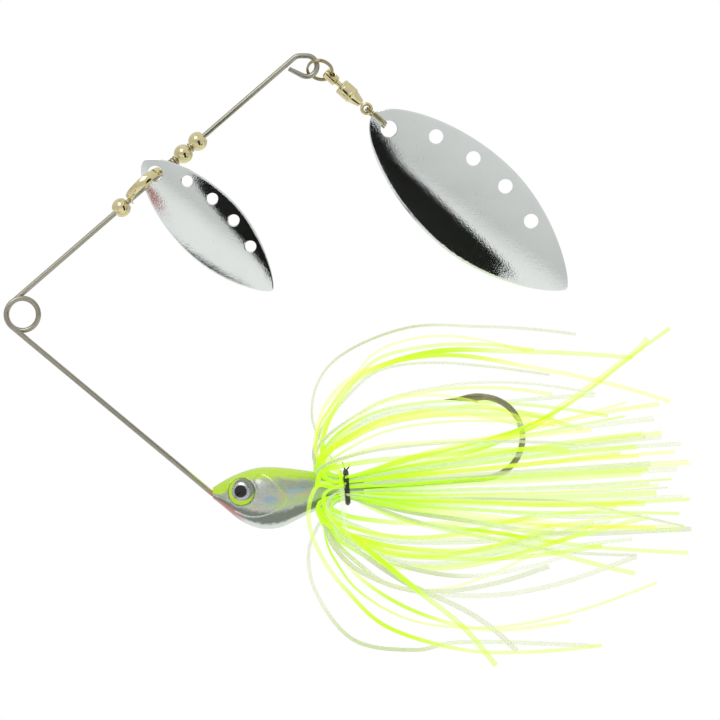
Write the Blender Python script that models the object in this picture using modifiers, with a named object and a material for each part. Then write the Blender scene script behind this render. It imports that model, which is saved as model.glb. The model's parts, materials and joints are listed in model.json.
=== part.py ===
"""A tandem spinnerbait: a bent wire frame with a lead minnow head, hook, tied skirt and two blades.

Metres, +Z up. The origin is the middle of the line-tie coil, the nose points to -X, and the wire
frame lies in the XZ plane. Everything is placed along the wire, which starts at the coil.
"""

import math

import bmesh
import bpy
from mathutils import Matrix, Vector

MM = 0.001
GAP = 0.12 * MM  # running clearance of a hole round what passes through it

# Wire frame
WIRE_D = 1.0 * MM
COIL_R = 3.03 * MM  # to the middle of the wire
COIL_PITCH = 1.12 * MM
UPPER_ARM_ANGLE = math.radians(40.9)
LOWER_ARM_ANGLE = math.radians(39.8)
UPPER_ARM_L = 70.3 * MM  # coil to the start of the eye
LOWER_ARM_L = 48.8 * MM  # coil to the bend in the head's nose
RING_WIRE_D = 0.4 * MM  # both split rings, two turns side by side
RING_PITCH = RING_WIRE_D + 0.05 * MM
RING_SECTION_R = math.hypot(RING_PITCH + RING_WIRE_D, RING_WIRE_D) / 2
EYE_PLAY = 0.98 * MM
EYE_R = RING_SECTION_R + EYE_PLAY + WIRE_D / 2
EYE_FLAT = 1.2 * MM
EYE_TAIL = 2.2 * MM
EYE_TURN = math.radians(206.6)
NOSE_BEND_R = 3.0 * MM
# The end bent through the hook's eye: wire sizes in front of it, share of its offset to the side
ANCHOR_BEND = ((3.6, 0.75), (1.9, 1.0), (0.7, 1.0), (0.1, 0.55), (0.0, -1.0))

# Head, from where the wire enters its nose. Stations: distance behind, top, bottom, half width
NOSE_LAP = 0.35 * MM  # bare wire past its bend
HEAD_STATIONS = (
    (0.0, 0.9, -1.1, 1.0),
    (1.2, 1.7, -2.0, 1.5),
    (3.1, 2.8, -3.6, 2.35),
    (5.1, 3.7, -5.2, 3.0),
    (7.6, 4.5, -6.4, 3.6),
    (10.1, 4.8, -6.9, 3.85),
    (13.1, 4.7, -6.5, 3.75),
    (16.6, 4.3, -4.8, 3.25),
    (19.6, 3.8, -3.3, 2.65),
    (21.6, 3.1, -1.8, 2.2),
)
HEAD_SIDES = 24
HEAD_STEPS = 2  # rings between two stations
COLLAR_R = 2.05 * MM
COLLAR_L = 6.6 * MM
EYE_DOME_R = 2.55 * MM
EYE_DOME_H = 1.1 * MM
EYE_SOCKET_DEPTH = 0.7 * MM
EYE_BACK = 5.4 * MM
EYE_RISE = 0.2 * MM

# Hook
HOOK_D = 1.15 * MM
WRAP_BACK = 25.3 * MM  # the shank line passes the thread wrap here
WRAP_RISE = 0.97 * MM
SHANK_TILT = math.radians(3.66)
SHANK_L = 42.2 * MM  # hook eye to the start of the bend
HOOK_EYE_PLAY = 0.475 * MM
HOOK_EYE_R = (WIRE_D + HOOK_D) / 2 + HOOK_EYE_PLAY
HOOK_EYE_BACK = 16.2 * MM
HOOK_BEND_R = 7.7 * MM
HOOK_POINT_L = 6.7 * MM
POINT_DROP = 0.12 * MM
POINT_TAPER = ((0.45, 0.85), (0.8, 0.5), (1.0, 0.12))  # share of the point's run, thickness
BARB_BACK = 2.0 * MM  # barb behind the end of the bend
BARB_L = 1.6 * MM
BARB_R = 0.28 * MM

# Skirt
STRANDS = 24
STRAND_R = 0.75 * MM
TOP_GAP_ANGLE = math.radians(24.0)
SKIRT_SPREAD = 2 * math.pi - 2 * TOP_GAP_ANGLE
STRAND_FILL = 0.89  # of the room between two neighbours
STRAND_R_SHARE = STRAND_FILL * math.sin(SKIRT_SPREAD / (STRANDS - 1) / 2)  # of its distance out
TIE_R = (COLLAR_R + GAP) / (1 - STRAND_R_SHARE)  # strand middle under the wrap
WRAP_W = 0.9 * MM
WRAP_H = 0.6 * MM
LOOP_R_SIDE = 16.5 * MM
LOOP_R_UP = 26.0 * MM
LOOP_R_DOWN = 29.5 * MM
LOOP_END = 49.0 * MM
DROPPED_STRAND = 12  # the front half of this bundle hangs down
TAIL_END = 61.0 * MM
TAIL_STEP = 8.0 * MM
TAIL_R_SIDE = 9.0 * MM
TAIL_R_UP = 13.0 * MM

# Pieces on the upper arm, by distance along it from the coil
BEAD_R = 1.8 * MM
BEAD_HOLE_R = WIRE_D / 2 + GAP
BEAD_L = 3.0 * MM
CRIMP_R = WIRE_D / 2 + 0.5 * MM
CRIMP_BORE_R = WIRE_D / 2 + GAP / 2
LOWER_CRIMP_L = 1.6 * MM
UPPER_CRIMP_L = 0.45 * MM
BEAD_PLAY = 0.08 * MM
LOWER_CRIMP_U = 40.4 * MM
BEAD_A_U = LOWER_CRIMP_U + (LOWER_CRIMP_L + BEAD_L) / 2 + BEAD_PLAY
UPPER_CRIMP_U = BEAD_A_U + (BEAD_L + UPPER_CRIMP_L) / 2 + BEAD_PLAY
BEAD_B_U = UPPER_CRIMP_U + (UPPER_CRIMP_L + BEAD_L) / 2 + BEAD_PLAY

# Clevis
CLEVIS_U = 33.5 * MM
CLEVIS_SPAN = 8.0 * MM  # between the middles of its legs
CLEVIS_LEG = 1.0 * MM
CLEVIS_BOW = 3.4 * MM
CLEVIS_W = 1.7 * MM
CLEVIS_T = 0.3 * MM
CLEVIS_FLARE = 0.19  # of the bow, away from straight sideways
LOWER_BEAD_PLAY = 0.55 * MM
LOWER_BEAD_U = CLEVIS_U - (CLEVIS_SPAN + CLEVIS_T + BEAD_L) / 2 - LOWER_BEAD_PLAY
HANG_BOW_ANGLE = math.radians(37)  # where on the bow the small blade hangs
HANG_BACK = 0.3 * MM  # blade hole to the strap in it

# Small blade
SMALL_L = 34.4 * MM
SMALL_W = 6.6 * MM  # half width
SMALL_T = 0.5 * MM
SMALL_CUP = 1.5 * MM
SMALL_ANGLE = math.radians(-45.0)
SMALL_TILT = math.radians(14.0)
SMALL_HANG = 3.15 * MM  # root to the hanging hole
SMALL_HANG_R = 1.43 * MM
SMALL_DOTS = (8.5 * MM, 8.8 * MM, 2.1 * MM)  # first from root, last from tip, middles from edge
SMALL_DOT_R = 1.08 * MM

# Large blade
LARGE_L = 49.3 * MM
LARGE_W = 9.95 * MM
LARGE_T = 0.55 * MM
LARGE_CUP = 2.3 * MM
LARGE_ANGLE = math.radians(-42.0)
LARGE_TILT = math.radians(4.0)
LARGE_HANG = 4.09 * MM
LARGE_HANG_R = 1.55 * MM
LARGE_HANG_SLACK = 0.9 * MM  # hole middle past the ring's wire
LARGE_DOTS = (11.7 * MM, 13.6 * MM, 3.15 * MM)
LARGE_DOT_R = 1.36 * MM
DOTS = 4

# Split rings
RING_R = 2.38 * MM
RING_TURNS = 1.95
RING_REACH = 2.62 * MM  # eye bend middle to ring middle
RING_DIP = math.radians(-16.5)
RING_TILT = math.radians(43.0)

# Swivel, by distance along its axis from the hole that the upper ring runs in
SWIVEL_ANGLE = math.radians(-41.8)
STUB_WALL = 0.34 * MM
STUB_PLAY = 0.21 * MM
STUB_HOLE_R = RING_SECTION_R + STUB_PLAY
STUB_R = STUB_HOLE_R + STUB_WALL
STUB_START = -1.3 * MM
STUB_END = 1.6 * MM
NECK_R = 0.5 * MM
BARREL_START = 2.6 * MM
BARREL_L = 3.0 * MM
CONE_L = 2.05 * MM
BARREL_R = 1.55 * MM
BARREL_WALL = 0.28 * MM
FLANGE_R = BARREL_R - BARREL_WALL - 1.5 * GAP
FLANGE_T = 0.4 * MM
LOWER_NECK_R = 0.33 * MM
CONE_END_R = LOWER_NECK_R + GAP + 0.3 * MM
LOOP_WIRE_R = 0.32 * MM
LOOP_PLAY = 0.11 * MM
LOOP_R = RING_SECTION_R + LOOP_PLAY + LOOP_WIRE_R
LOOP_GAP = 0.25 * MM  # cone end to the loop
BALLS = 6
BALL_R = 0.25 * MM
BALL_CIRCLE_R = (LOWER_NECK_R + BARREL_R - BARREL_WALL) / 2
BALL_PLAY = 0.04 * MM

SIDE = Vector((0, 1, 0))
TO_VIEW = Vector((0, -1, 0))


def clear_scene():
    """Remove everything that the start-up file holds."""
    for obj in list(bpy.data.objects):
        bpy.data.objects.remove(obj, do_unlink=True)


def new_collection(name):
    """A collection of that name in the scene."""
    collection = bpy.data.collections.new(name)
    bpy.context.scene.collection.children.link(collection)
    return collection


def new_material(name, colour, roughness, metallic):
    """A Principled material of one colour."""
    material = bpy.data.materials.new(name)
    material.use_nodes = True
    shader = material.node_tree.nodes["Principled BSDF"]
    shader.inputs["Base Color"].default_value = (*colour, 1.0)
    shader.inputs["Roughness"].default_value = roughness
    shader.inputs["Metallic"].default_value = metallic
    material.diffuse_color = (*colour, 1.0)
    return material


clear_scene()
PARTS = new_collection("spinnerbait")
CUTTERS = new_collection("cutters")
STEEL = new_material("stainless wire", (0.62, 0.62, 0.6), 0.25, 1.0)
BRONZE = new_material("bronzed hook", (0.16, 0.13, 0.11), 0.3, 1.0)
PAINT = new_material("chartreuse paint", (0.55, 0.85, 0.06), 0.3, 0.0)
EYE = new_material("eye", (0.8, 0.8, 0.75), 0.1, 0.0)
BRASS = new_material("brass", (0.85, 0.62, 0.25), 0.18, 1.0)
NICKEL = new_material("nickel plate", (0.85, 0.84, 0.82), 0.08, 1.0)
CHARTREUSE = new_material("chartreuse silicone", (0.85, 1.0, 0.15), 0.35, 0.0)
PEARL = new_material("pearl silicone", (0.9, 0.92, 0.85), 0.35, 0.0)
THREAD = new_material("black thread", (0.02, 0.02, 0.02), 0.7, 0.0)


def in_plane(angle):
    """The unit vector in the XZ plane at an angle above +X."""
    return Vector((math.cos(angle), 0, math.sin(angle)))


def axes(z_axis, x_hint):
    """A rotation whose Z is z_axis and whose X is as near x_hint as it can be."""
    z = z_axis.normalized()
    y = z.cross(x_hint).normalized()
    x = y.cross(z)
    return Matrix((x, y, z)).transposed()


def place(obj, origin, rotation=None):
    """Put an object's origin and turn it."""
    matrix = rotation.to_4x4() if rotation else Matrix.Identity(4)
    matrix.translation = origin
    obj.matrix_world = matrix


def keep(obj, material):
    """Put a finished piece in the parts' collection, smooth shaded."""
    PARTS.objects.link(obj)
    obj.data.materials.append(material)
    if obj.type == "MESH" and obj.data.polygons:
        obj.data.shade_smooth()
        obj.data.set_sharp_from_angle(angle=math.radians(35))
    return obj


def hide(obj):
    """Put a helper solid in the cutters' collection, out of the build."""
    CUTTERS.objects.link(obj)
    obj.hide_render = True
    obj.display_type = "WIRE"
    return obj


def curve_tube(name, points, radius, shares=None):
    """A round wire through the points, as a curve object. shares scales it at each point."""
    curve = bpy.data.curves.new(name, "CURVE")
    curve.dimensions = "3D"
    curve.bevel_depth = radius
    curve.bevel_resolution = 2
    curve.use_fill_caps = True
    spline = curve.splines.new("POLY")
    spline.points.add(len(points) - 1)
    for number, point in enumerate(points):
        spline.points[number].co = (*point, 1.0)
        spline.points[number].radius = shares[number] if shares else 1.0
    return bpy.data.objects.new(name, curve)


def mesh_tube(name, points, radius, shares=None):
    """The same wire as one welded mesh, which a Boolean can use."""
    source = curve_tube(name, points, radius, shares)
    bpy.context.scene.collection.objects.link(source)
    graph = bpy.context.evaluated_depsgraph_get()
    mesh = bpy.data.meshes.new_from_object(source.evaluated_get(graph))
    matrix = source.matrix_world.copy()
    bpy.data.objects.remove(source, do_unlink=True)
    weld = bmesh.new()
    weld.from_mesh(mesh)
    bmesh.ops.remove_doubles(weld, verts=weld.verts, dist=0.001 * MM)
    bmesh.ops.recalc_face_normals(weld, faces=weld.faces)
    weld.to_mesh(mesh)
    weld.free()
    mesh.name = name
    obj = bpy.data.objects.new(name, mesh)
    obj.matrix_world = matrix
    return obj


def turned(name, profile, start, axis, steps=20):
    """A turned piece. The profile is (radius, distance along the axis), outer side first."""
    mesh = bpy.data.meshes.new(name)
    outline = bmesh.new()
    points = [outline.verts.new((radius, 0, -along)) for radius, along in profile]
    for number, point in enumerate(points):
        following = points[(number + 1) % len(points)]
        on_axis = point.co.x == 0 and following.co.x == 0
        if not on_axis:
            outline.edges.new((point, following))
    outline.to_mesh(mesh)
    outline.free()
    obj = bpy.data.objects.new(name, mesh)
    screw = obj.modifiers.new("Turn", "SCREW")
    screw.steps = steps
    screw.render_steps = steps
    screw.use_merge_vertices = True
    screw.merge_threshold = 0.001 * MM
    place(obj, start, axes(-axis, SIDE))
    return obj


def rod(name, middle, axis, radius, length, sides=20):
    """A plain round cutter, centred on a point."""
    mesh = bpy.data.meshes.new(name)
    solid = bmesh.new()
    bmesh.ops.create_cone(
        solid, cap_ends=True, segments=sides, radius1=radius, radius2=radius, depth=length
    )
    solid.to_mesh(mesh)
    solid.free()
    obj = bpy.data.objects.new(name, mesh)
    hint = SIDE if abs(axis.normalized().y) < 0.9 else Vector((1, 0, 0))
    place(obj, middle, axes(axis, hint))
    return hide(obj)


def combine(obj, other, operation):
    """Add an exact Boolean with another solid."""
    boolean = obj.modifiers.new(operation.title() + " " + other.name, "BOOLEAN")
    boolean.operation = operation
    boolean.object = other
    boolean.solver = "EXACT"


def arc(middle, first, second, radius, start, sweep, steps):
    """Points on an arc in the plane of two unit vectors, both ends included."""
    angles = [start + sweep * step / steps for step in range(steps + 1)]
    return [middle + (first * math.cos(a) + second * math.sin(a)) * radius for a in angles]


# ---- The wire frame's path ----

UP = Vector((0, 0, 1))
FORE = Vector((1, 0, 0))
COIL_SWEEP = 2 * math.pi + math.pi - UPPER_ARM_ANGLE - LOWER_ARM_ANGLE
COIL_DEPTH = COIL_PITCH * COIL_SWEEP / (2 * math.pi)
UPPER_TANGENT = in_plane(UPPER_ARM_ANGLE + math.pi / 2) * COIL_R + SIDE * COIL_DEPTH / 2
LOWER_TANGENT = in_plane(-LOWER_ARM_ANGLE - math.pi / 2) * COIL_R - SIDE * COIL_DEPTH / 2
UPPER_FLAT = in_plane(UPPER_ARM_ANGLE) * UPPER_ARM_L
UPPER_END = Vector((UPPER_TANGENT.x, 0, UPPER_TANGENT.z)) + UPPER_FLAT
LOWER_FLAT = in_plane(-LOWER_ARM_ANGLE) * LOWER_ARM_L
LOWER_END = Vector((LOWER_TANGENT.x, 0, LOWER_TANGENT.z)) + LOWER_FLAT
ARM = (UPPER_END - UPPER_TANGENT).normalized()
ARM_SIDE = ARM.cross(SIDE).normalized()  # across the arm, up and to the front
EYE_FIRST = UPPER_END + in_plane(UPPER_ARM_ANGLE - math.pi / 2) * EYE_R
EYE_MIDDLE = EYE_FIRST + FORE * EYE_FLAT
NOSE = Vector((LOWER_END.x + NOSE_LAP, 0, LOWER_END.z))
WRAP = NOSE + FORE * WRAP_BACK + UP * WRAP_RISE


def on_arm(distance):
    """The point on the upper arm at a distance from the coil."""
    return UPPER_TANGENT + ARM * distance


def shank_at(distance, height=0.0, side=0.0):
    """A point by distance behind the thread wrap, height over the shank line and side."""
    along = in_plane(SHANK_TILT)
    over = in_plane(SHANK_TILT + math.pi / 2)
    return WRAP + along * distance + over * height + SIDE * side


HOOK_EYE = shank_at(-HOOK_EYE_BACK)


def coil_points():
    """The line tie: down the far side, once round, and off on the near side."""
    start = UPPER_ARM_ANGLE + math.pi / 2
    steps = 34
    points = []
    for step in range(1, steps):
        share = step / steps
        angle = start + COIL_SWEEP * share
        points.append(in_plane(angle) * COIL_R + SIDE * COIL_DEPTH * (0.5 - share))
    return points


def eye_points():
    """The D-shaped eye at the upper arm's end, with its tail laid back beside the arm."""
    start = UPPER_ARM_ANGLE + math.pi / 2
    points = arc(EYE_FIRST, FORE, UP, EYE_R, start, math.pi / 2 - start, 4)
    points += arc(EYE_MIDDLE, FORE, UP, EYE_R, math.pi / 2, -EYE_TURN, 16)
    tail = in_plane(-EYE_TURN)
    points.append(points[-1] + tail * EYE_TAIL)
    return points


def anchor_points():
    """The wire in the head: a bend to level, then round to one side and across the hook's eye."""
    over = in_plane(math.pi / 2 - LOWER_ARM_ANGLE)
    middle = LOWER_END + over * NOSE_BEND_R
    start = -math.pi / 2 - LOWER_ARM_ANGLE
    points = arc(middle, FORE, UP, NOSE_BEND_R, start, LOWER_ARM_ANGLE, 4)
    offset = (HOOK_D + WIRE_D) / 2 + 2 * GAP
    for back, side in ANCHOR_BEND:
        points.append(HOOK_EYE - FORE * back * WIRE_D - SIDE * side * offset)
    return points


def wire_points():
    """The whole wire, from the tail of the upper eye to the end in the head."""
    return eye_points()[::-1] + coil_points_with_ends() + anchor_points()


def coil_points_with_ends():
    """The coil with the two tangent points of the arms."""
    return [UPPER_TANGENT] + coil_points() + [LOWER_TANGENT]


def make_wire_frame():
    """The bent wire, in one piece."""
    keep(curve_tube("wire_frame", wire_points(), WIRE_D / 2), STEEL)


# ---- Hook ----


def hook_points():
    """The hook from its closed eye along the shank, round the bend to the point."""
    along = in_plane(SHANK_TILT)
    over = in_plane(SHANK_TILT + math.pi / 2)
    eye_open = math.radians(42)
    points = arc(HOOK_EYE, along, over, HOOK_EYE_R, eye_open, 2 * math.pi - eye_open, 14)
    foot = HOOK_EYE + along * (HOOK_EYE_R + 0.9 * MM)
    points[-1] = HOOK_EYE + along * (HOOK_EYE_R + 0.1 * MM)
    points.append(foot)
    bend = HOOK_EYE + along * SHANK_L + over * HOOK_BEND_R
    points += arc(bend, along, over, HOOK_BEND_R, -math.pi / 2, math.pi, 18)
    end = points[-1]
    for share, _ in POINT_TAPER:
        points.append(end - along * HOOK_POINT_L * share - over * POINT_DROP * share)
    return points


def hook_shares(count):
    """Thickness of the hook at each point: full, then tapering to the point."""
    taper = [thickness for _, thickness in POINT_TAPER]
    return [1.0] * (count - len(taper)) + taper


def make_hook():
    """The hook, with its barb joined on."""
    points = hook_points()
    hook = mesh_tube("hook", points, HOOK_D / 2, hook_shares(len(points)))
    along = in_plane(SHANK_TILT)
    over = in_plane(SHANK_TILT + math.pi / 2)
    top = HOOK_EYE + along * (SHANK_L - BARB_BACK) + over * 2 * HOOK_BEND_R
    root = top - over * HOOK_D * 0.09 - along * BARB_L * 0.6
    tip = top - over * HOOK_D * 0.92 + along * BARB_L * 0.4
    barb = mesh_tube("barb", [root, tip], BARB_R, [1.0, 0.25])
    hide(barb)
    combine(hook, barb, "UNION")
    keep(hook, BRONZE)


# ---- Head ----


def smooth_between(values, position):
    """A Catmull-Rom value between the numbers of a list, at a fractional index."""
    last = len(values) - 1
    index = min(int(position), last - 1)
    t = position - index
    before = values[max(index - 1, 0)]
    first, second = values[index], values[index + 1]
    after = values[min(index + 2, last)]
    return 0.5 * (
        2 * first
        + (second - before) * t
        + (2 * before - 5 * first + 4 * second - after) * t * t
        + (3 * first - before - 3 * second + after) * t ** 3
    )


def head_section(position):
    """Middle, half height and half width of the head at a fractional station."""
    behind, top, bottom, half = (
        smooth_between([station[field] * MM for station in HEAD_STATIONS], position)
        for field in range(4)
    )
    middle = NOSE + FORE * behind + UP * (top + bottom) / 2
    return middle, (top - bottom) / 2, half


def head_rings():
    """Sections from the nose to the end of the collar: middle, half height and half width."""
    count = (len(HEAD_STATIONS) - 1) * HEAD_STEPS
    rings = [head_section(step / HEAD_STEPS) for step in range(count + 1)]
    for distance in (-WRAP_W * 2.2, 0, COLLAR_L / 2 - 0.4 * MM):
        rings.append((shank_at(distance), COLLAR_R, COLLAR_R))
    rings.append((shank_at(COLLAR_L / 2), COLLAR_R * 0.85, COLLAR_R * 0.85))
    return rings


def make_head():
    """The cast head: a loft of its sections, with the wire, the hook and the eyes let in."""
    mesh = bpy.data.meshes.new("head")
    loft = bmesh.new()
    previous = None
    for middle, half_height, half_width in head_rings():
        ring = []
        for side in range(HEAD_SIDES):
            angle = 2 * math.pi * side / HEAD_SIDES
            offset = SIDE * math.cos(angle) * half_width + UP * math.sin(angle) * half_height
            ring.append(loft.verts.new(middle + offset))
        if previous is None:
            loft.faces.new(ring)
        else:
            for side in range(HEAD_SIDES):
                after = (side + 1) % HEAD_SIDES
                loft.faces.new((previous[side], previous[after], ring[after], ring[side]))
        previous = ring
    loft.faces.new(previous[::-1])
    bmesh.ops.recalc_face_normals(loft, faces=loft.faces)
    loft.to_mesh(mesh)
    loft.free()
    head = bpy.data.objects.new("head", mesh)

    lead_in = [LOWER_END - LOWER_FLAT.normalized() * 4 * MM]
    wire_route = anchor_points()
    wire_route[-1] += SIDE * GAP
    channel = mesh_tube("wire_channel", lead_in + wire_route, WIRE_D / 2 + GAP)
    combine(head, hide(channel), "DIFFERENCE")

    points = hook_points()
    straight = points[:16] + [shank_at(COLLAR_L / 2 + 3 * MM)]
    seat = mesh_tube("hook_seat", straight, HOOK_D / 2 + GAP)
    combine(head, hide(seat), "DIFFERENCE")
    for name, side in (("left", 1), ("right", -1)):
        origin, normal = eye_place(side)
        socket_middle = origin + normal * (2 * MM - EYE_SOCKET_DEPTH)
        socket = rod("eye_socket_" + name, socket_middle, normal, EYE_DOME_R + GAP, 4 * MM)
        combine(head, socket, "DIFFERENCE")
    keep(head, PAINT)


def eye_place(side):
    """Where an eye sits on the head's flank, and the way it faces. side is 1 for left."""
    count = (len(HEAD_STATIONS) - 1) * HEAD_STEPS
    stations = [head_section(step / HEAD_STEPS) for step in range(count + 1)]
    spot = NOSE + FORE * EYE_BACK + UP * EYE_RISE
    near = min(range(1, count), key=lambda step: abs(stations[step][0].x - spot.x))
    middle, half_height, half_width = stations[near]
    rise = (spot.z - middle.z) / half_height
    reach = half_width * math.sqrt(1 - rise * rise)
    widening = (stations[near + 1][2] - stations[near - 1][2]) / (
        stations[near + 1][0].x - stations[near - 1][0].x
    )
    lean = rise * half_width / half_height
    normal = Vector((-widening, side, lean)).normalized()
    return spot + SIDE * side * reach, normal


def make_eyes():
    """A domed eye in each socket."""
    floor = GAP - EYE_SOCKET_DEPTH
    edge = floor + 0.55 * MM
    for name, side in (("eye_left", 1), ("eye_right", -1)):
        origin, normal = eye_place(side)
        dome = []
        for step in range(5):
            angle = math.pi / 2 * (1 - step / 4)
            height = edge + EYE_DOME_H * math.sin(angle)
            dome.append((EYE_DOME_R * math.cos(angle) if step else 0.0, -height))
        profile = dome + [(EYE_DOME_R, -floor), (0.0, -floor)]
        eye = turned(name, profile, origin, -normal, 24)
        keep(eye, EYE)


# ---- Pieces threaded on the upper arm ----


def make_bead(name, distance, material):
    """A round bead with a hole for the wire."""
    edge = math.asin(BEAD_L / 2 / BEAD_R)
    steps = 6
    outer = []
    for step in range(steps + 1):
        angle = -edge + 2 * edge * step / steps
        outer.append((BEAD_R * math.cos(angle), BEAD_R * math.sin(angle)))
    profile = outer + [(BEAD_HOLE_R, BEAD_L / 2), (BEAD_HOLE_R, -BEAD_L / 2)]
    keep(turned(name, profile, on_arm(distance), ARM), material)


def make_crimp(name, distance, length, ridges):
    """A short grooved collar pinched on the wire."""
    pitch = length / ridges
    outer = []
    for ridge in range(ridges):
        start = -length / 2 + ridge * pitch
        outer += [
            (CRIMP_R * 0.8, start),
            (CRIMP_R, start + pitch * 0.3),
            (CRIMP_R, start + pitch * 0.7),
        ]
    outer.append((CRIMP_R * 0.8, length / 2))
    profile = outer + [(CRIMP_BORE_R, length / 2), (CRIMP_BORE_R, -length / 2)]
    keep(turned(name, profile, on_arm(distance), ARM, 16), BRASS)


CLEVIS_OUT = (TO_VIEW + ARM_SIDE * CLEVIS_FLARE).normalized()


def on_bow(angle):
    """A point of the clevis's bow, from the upper leg at 0 to the lower leg at pi."""
    along = ARM * (CLEVIS_SPAN / 2 * math.cos(angle))
    return on_arm(CLEVIS_U) + along + CLEVIS_OUT * (CLEVIS_LEG + CLEVIS_BOW * math.sin(angle))


SMALL_HANG_AT = on_bow(HANG_BOW_ANGLE) - ARM * HANG_BACK


def make_clevis():
    """The folded strap: two legs that the wire runs through, and a bow for the blade."""
    across = ARM.cross(CLEVIS_OUT).normalized()
    half = ARM * CLEVIS_SPAN / 2
    middle = on_arm(CLEVIS_U)
    leg_end = CLEVIS_OUT * -(BEAD_HOLE_R + 0.5 * MM)
    path = [half + leg_end, half]
    path += [on_bow(math.pi * step / 12) - middle for step in range(13)]
    path += [-half, -half + leg_end]
    mesh = bpy.data.meshes.new("clevis")
    strap = bmesh.new()
    previous = None
    for centre in path:
        pair = [strap.verts.new(centre + across * CLEVIS_W / 2 * side) for side in (-1, 1)]
        if previous:
            strap.faces.new((previous[0], previous[1], pair[1], pair[0]))
        previous = pair
    strap.to_mesh(mesh)
    strap.free()
    clevis = bpy.data.objects.new("clevis", mesh)
    clevis.location = middle
    wall = clevis.modifiers.new("Thickness", "SOLIDIFY")
    wall.thickness = CLEVIS_T
    wall.offset = 0.0
    bore = rod("clevis_bore", middle, ARM, BEAD_HOLE_R, CLEVIS_SPAN + 4 * MM, 12)
    combine(clevis, bore, "DIFFERENCE")
    keep(clevis, BRASS)


# ---- Blades ----


def blade_half_width(share, widest):
    """Half width of a willow-leaf blade at a share of its length: blunt root, finer tip."""
    bow = 0.55 if share < 0.5 else 0.72
    return widest * math.sin(math.pi * share) ** bow


def make_blade(name, hang, length, widest, thick, cup, angle, tilt, hang_at, hang_r, dots, dot_r):
    """A cupped blade with a hanging hole and a row of round holes, convex side to -Y.

    hang is the middle of its hanging hole, and the object's origin is there."""
    along = in_plane(angle)
    rise = in_plane(angle + math.pi / 2)
    across = (rise * math.cos(tilt) + TO_VIEW * math.sin(tilt)).normalized()
    out = across.cross(along).normalized()
    if out.dot(TO_VIEW) < 0:
        out = -out
    rows, columns = 18, 8

    def surface(share, side):
        """The cupped surface's point, from the hanging hole."""
        half = blade_half_width(share, widest)
        hang_share = hang_at / length
        depth = cup * (half / widest * side) ** 2
        bow = cup * 0.6 * ((2 * share - 1) ** 2 - (2 * hang_share - 1) ** 2)
        return along * (share * length - hang_at) + across * half * side - out * (depth + bow)

    mesh = bpy.data.meshes.new(name)
    sheet = bmesh.new()
    root = sheet.verts.new(surface(0.0, 0.0))
    tip = sheet.verts.new(surface(1.0, 0.0))
    previous = None
    for row in range(1, rows):
        share = (1 - math.cos(math.pi * row / rows)) / 2
        line = [sheet.verts.new(surface(share, 2 * c / columns - 1)) for c in range(columns + 1)]
        for column in range(columns):
            if previous is None:
                sheet.faces.new((root, line[column], line[column + 1]))
            else:
                sheet.faces.new(
                    (previous[column], line[column], line[column + 1], previous[column + 1])
                )
        previous = line
    for column in range(columns):
        sheet.faces.new((previous[column], tip, previous[column + 1]))
    bmesh.ops.recalc_face_normals(sheet, faces=sheet.faces)
    sheet.to_mesh(mesh)
    sheet.free()
    blade = bpy.data.objects.new(name, mesh)
    blade.location = hang
    wall = blade.modifiers.new("Thickness", "SOLIDIFY")
    wall.thickness = thick
    wall.offset = 0.0
    deep = 4 * cup + 4 * MM
    combine(blade, rod(name + "_hang_hole", hang, out, hang_r, deep), "DIFFERENCE")
    first, last, rim = dots
    for dot in range(DOTS):
        reach = first + (length - first - last) * dot / (DOTS - 1)
        aside = blade_half_width(reach / length, widest) - rim
        middle = along * (reach - hang_at) + across * aside
        hole = rod(f"{name}_dot_{dot + 1}", hang + middle, out, dot_r, deep, 16)
        combine(blade, hole, "DIFFERENCE")
    keep(blade, NICKEL)


# ---- Split rings and swivel ----


def ring_points(middle, first, second, start):
    """A split ring: nearly two turns of wire side by side."""
    normal = first.cross(second)
    steps = int(20 * RING_TURNS)
    points = []
    for step in range(steps + 1):
        turn = RING_TURNS * step / steps
        angle = start + 2 * math.pi * turn
        round_point = first * math.cos(angle) + second * math.sin(angle)
        rise = RING_PITCH * (turn - RING_TURNS / 2)
        points.append(middle + round_point * RING_R + normal * rise)
    return points


SWIVEL = in_plane(SWIVEL_ANGLE)
SWIVEL_UP = in_plane(SWIVEL_ANGLE + math.pi / 2)
RING_OUT = in_plane(RING_DIP)
RING_OVER = in_plane(RING_DIP + math.pi / 2) * math.cos(RING_TILT) + TO_VIEW * math.sin(RING_TILT)
WIRE_RING_AT = EYE_MIDDLE + RING_OUT * RING_REACH
# The swivel hangs where the ring's wire crosses its axis at a right angle.
HANG_ANGLE = math.atan2(RING_OVER.dot(SWIVEL), RING_OUT.dot(SWIVEL))
SWIVEL_HOLE = WIRE_RING_AT + (
    RING_OUT * math.cos(HANG_ANGLE) + RING_OVER * math.sin(HANG_ANGLE)
) * RING_R
RING_TANGENT = RING_OVER * math.cos(HANG_ANGLE) - RING_OUT * math.sin(HANG_ANGLE)
CONE_END = BARREL_START + BARREL_L + CONE_L
LOOP_AT = SWIVEL_HOLE + SWIVEL * (CONE_END + LOOP_GAP + LOOP_R + LOOP_WIRE_R)
BALL_SEAT = BARREL_START + BARREL_L - 0.05 * MM
BALL_AT = BALL_SEAT - BALL_R - BALL_PLAY
LOWER_FLANGE_END = BALL_AT - BALL_R - BALL_PLAY
LARGE_ALONG = in_plane(LARGE_ANGLE)
BLADE_RING_AT = LOOP_AT + LARGE_ALONG * RING_R
LARGE_PIVOT = LOOP_AT + LARGE_ALONG * 2 * RING_R


def make_wire_ring():
    """The split ring in the wire's eye."""
    points = ring_points(WIRE_RING_AT, RING_OUT, RING_OVER, math.radians(238))
    ring = curve_tube("wire_ring", [point - EYE_MIDDLE for point in points], RING_WIRE_D / 2)
    ring.location = EYE_MIDDLE
    keep(ring, BRASS)


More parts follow.
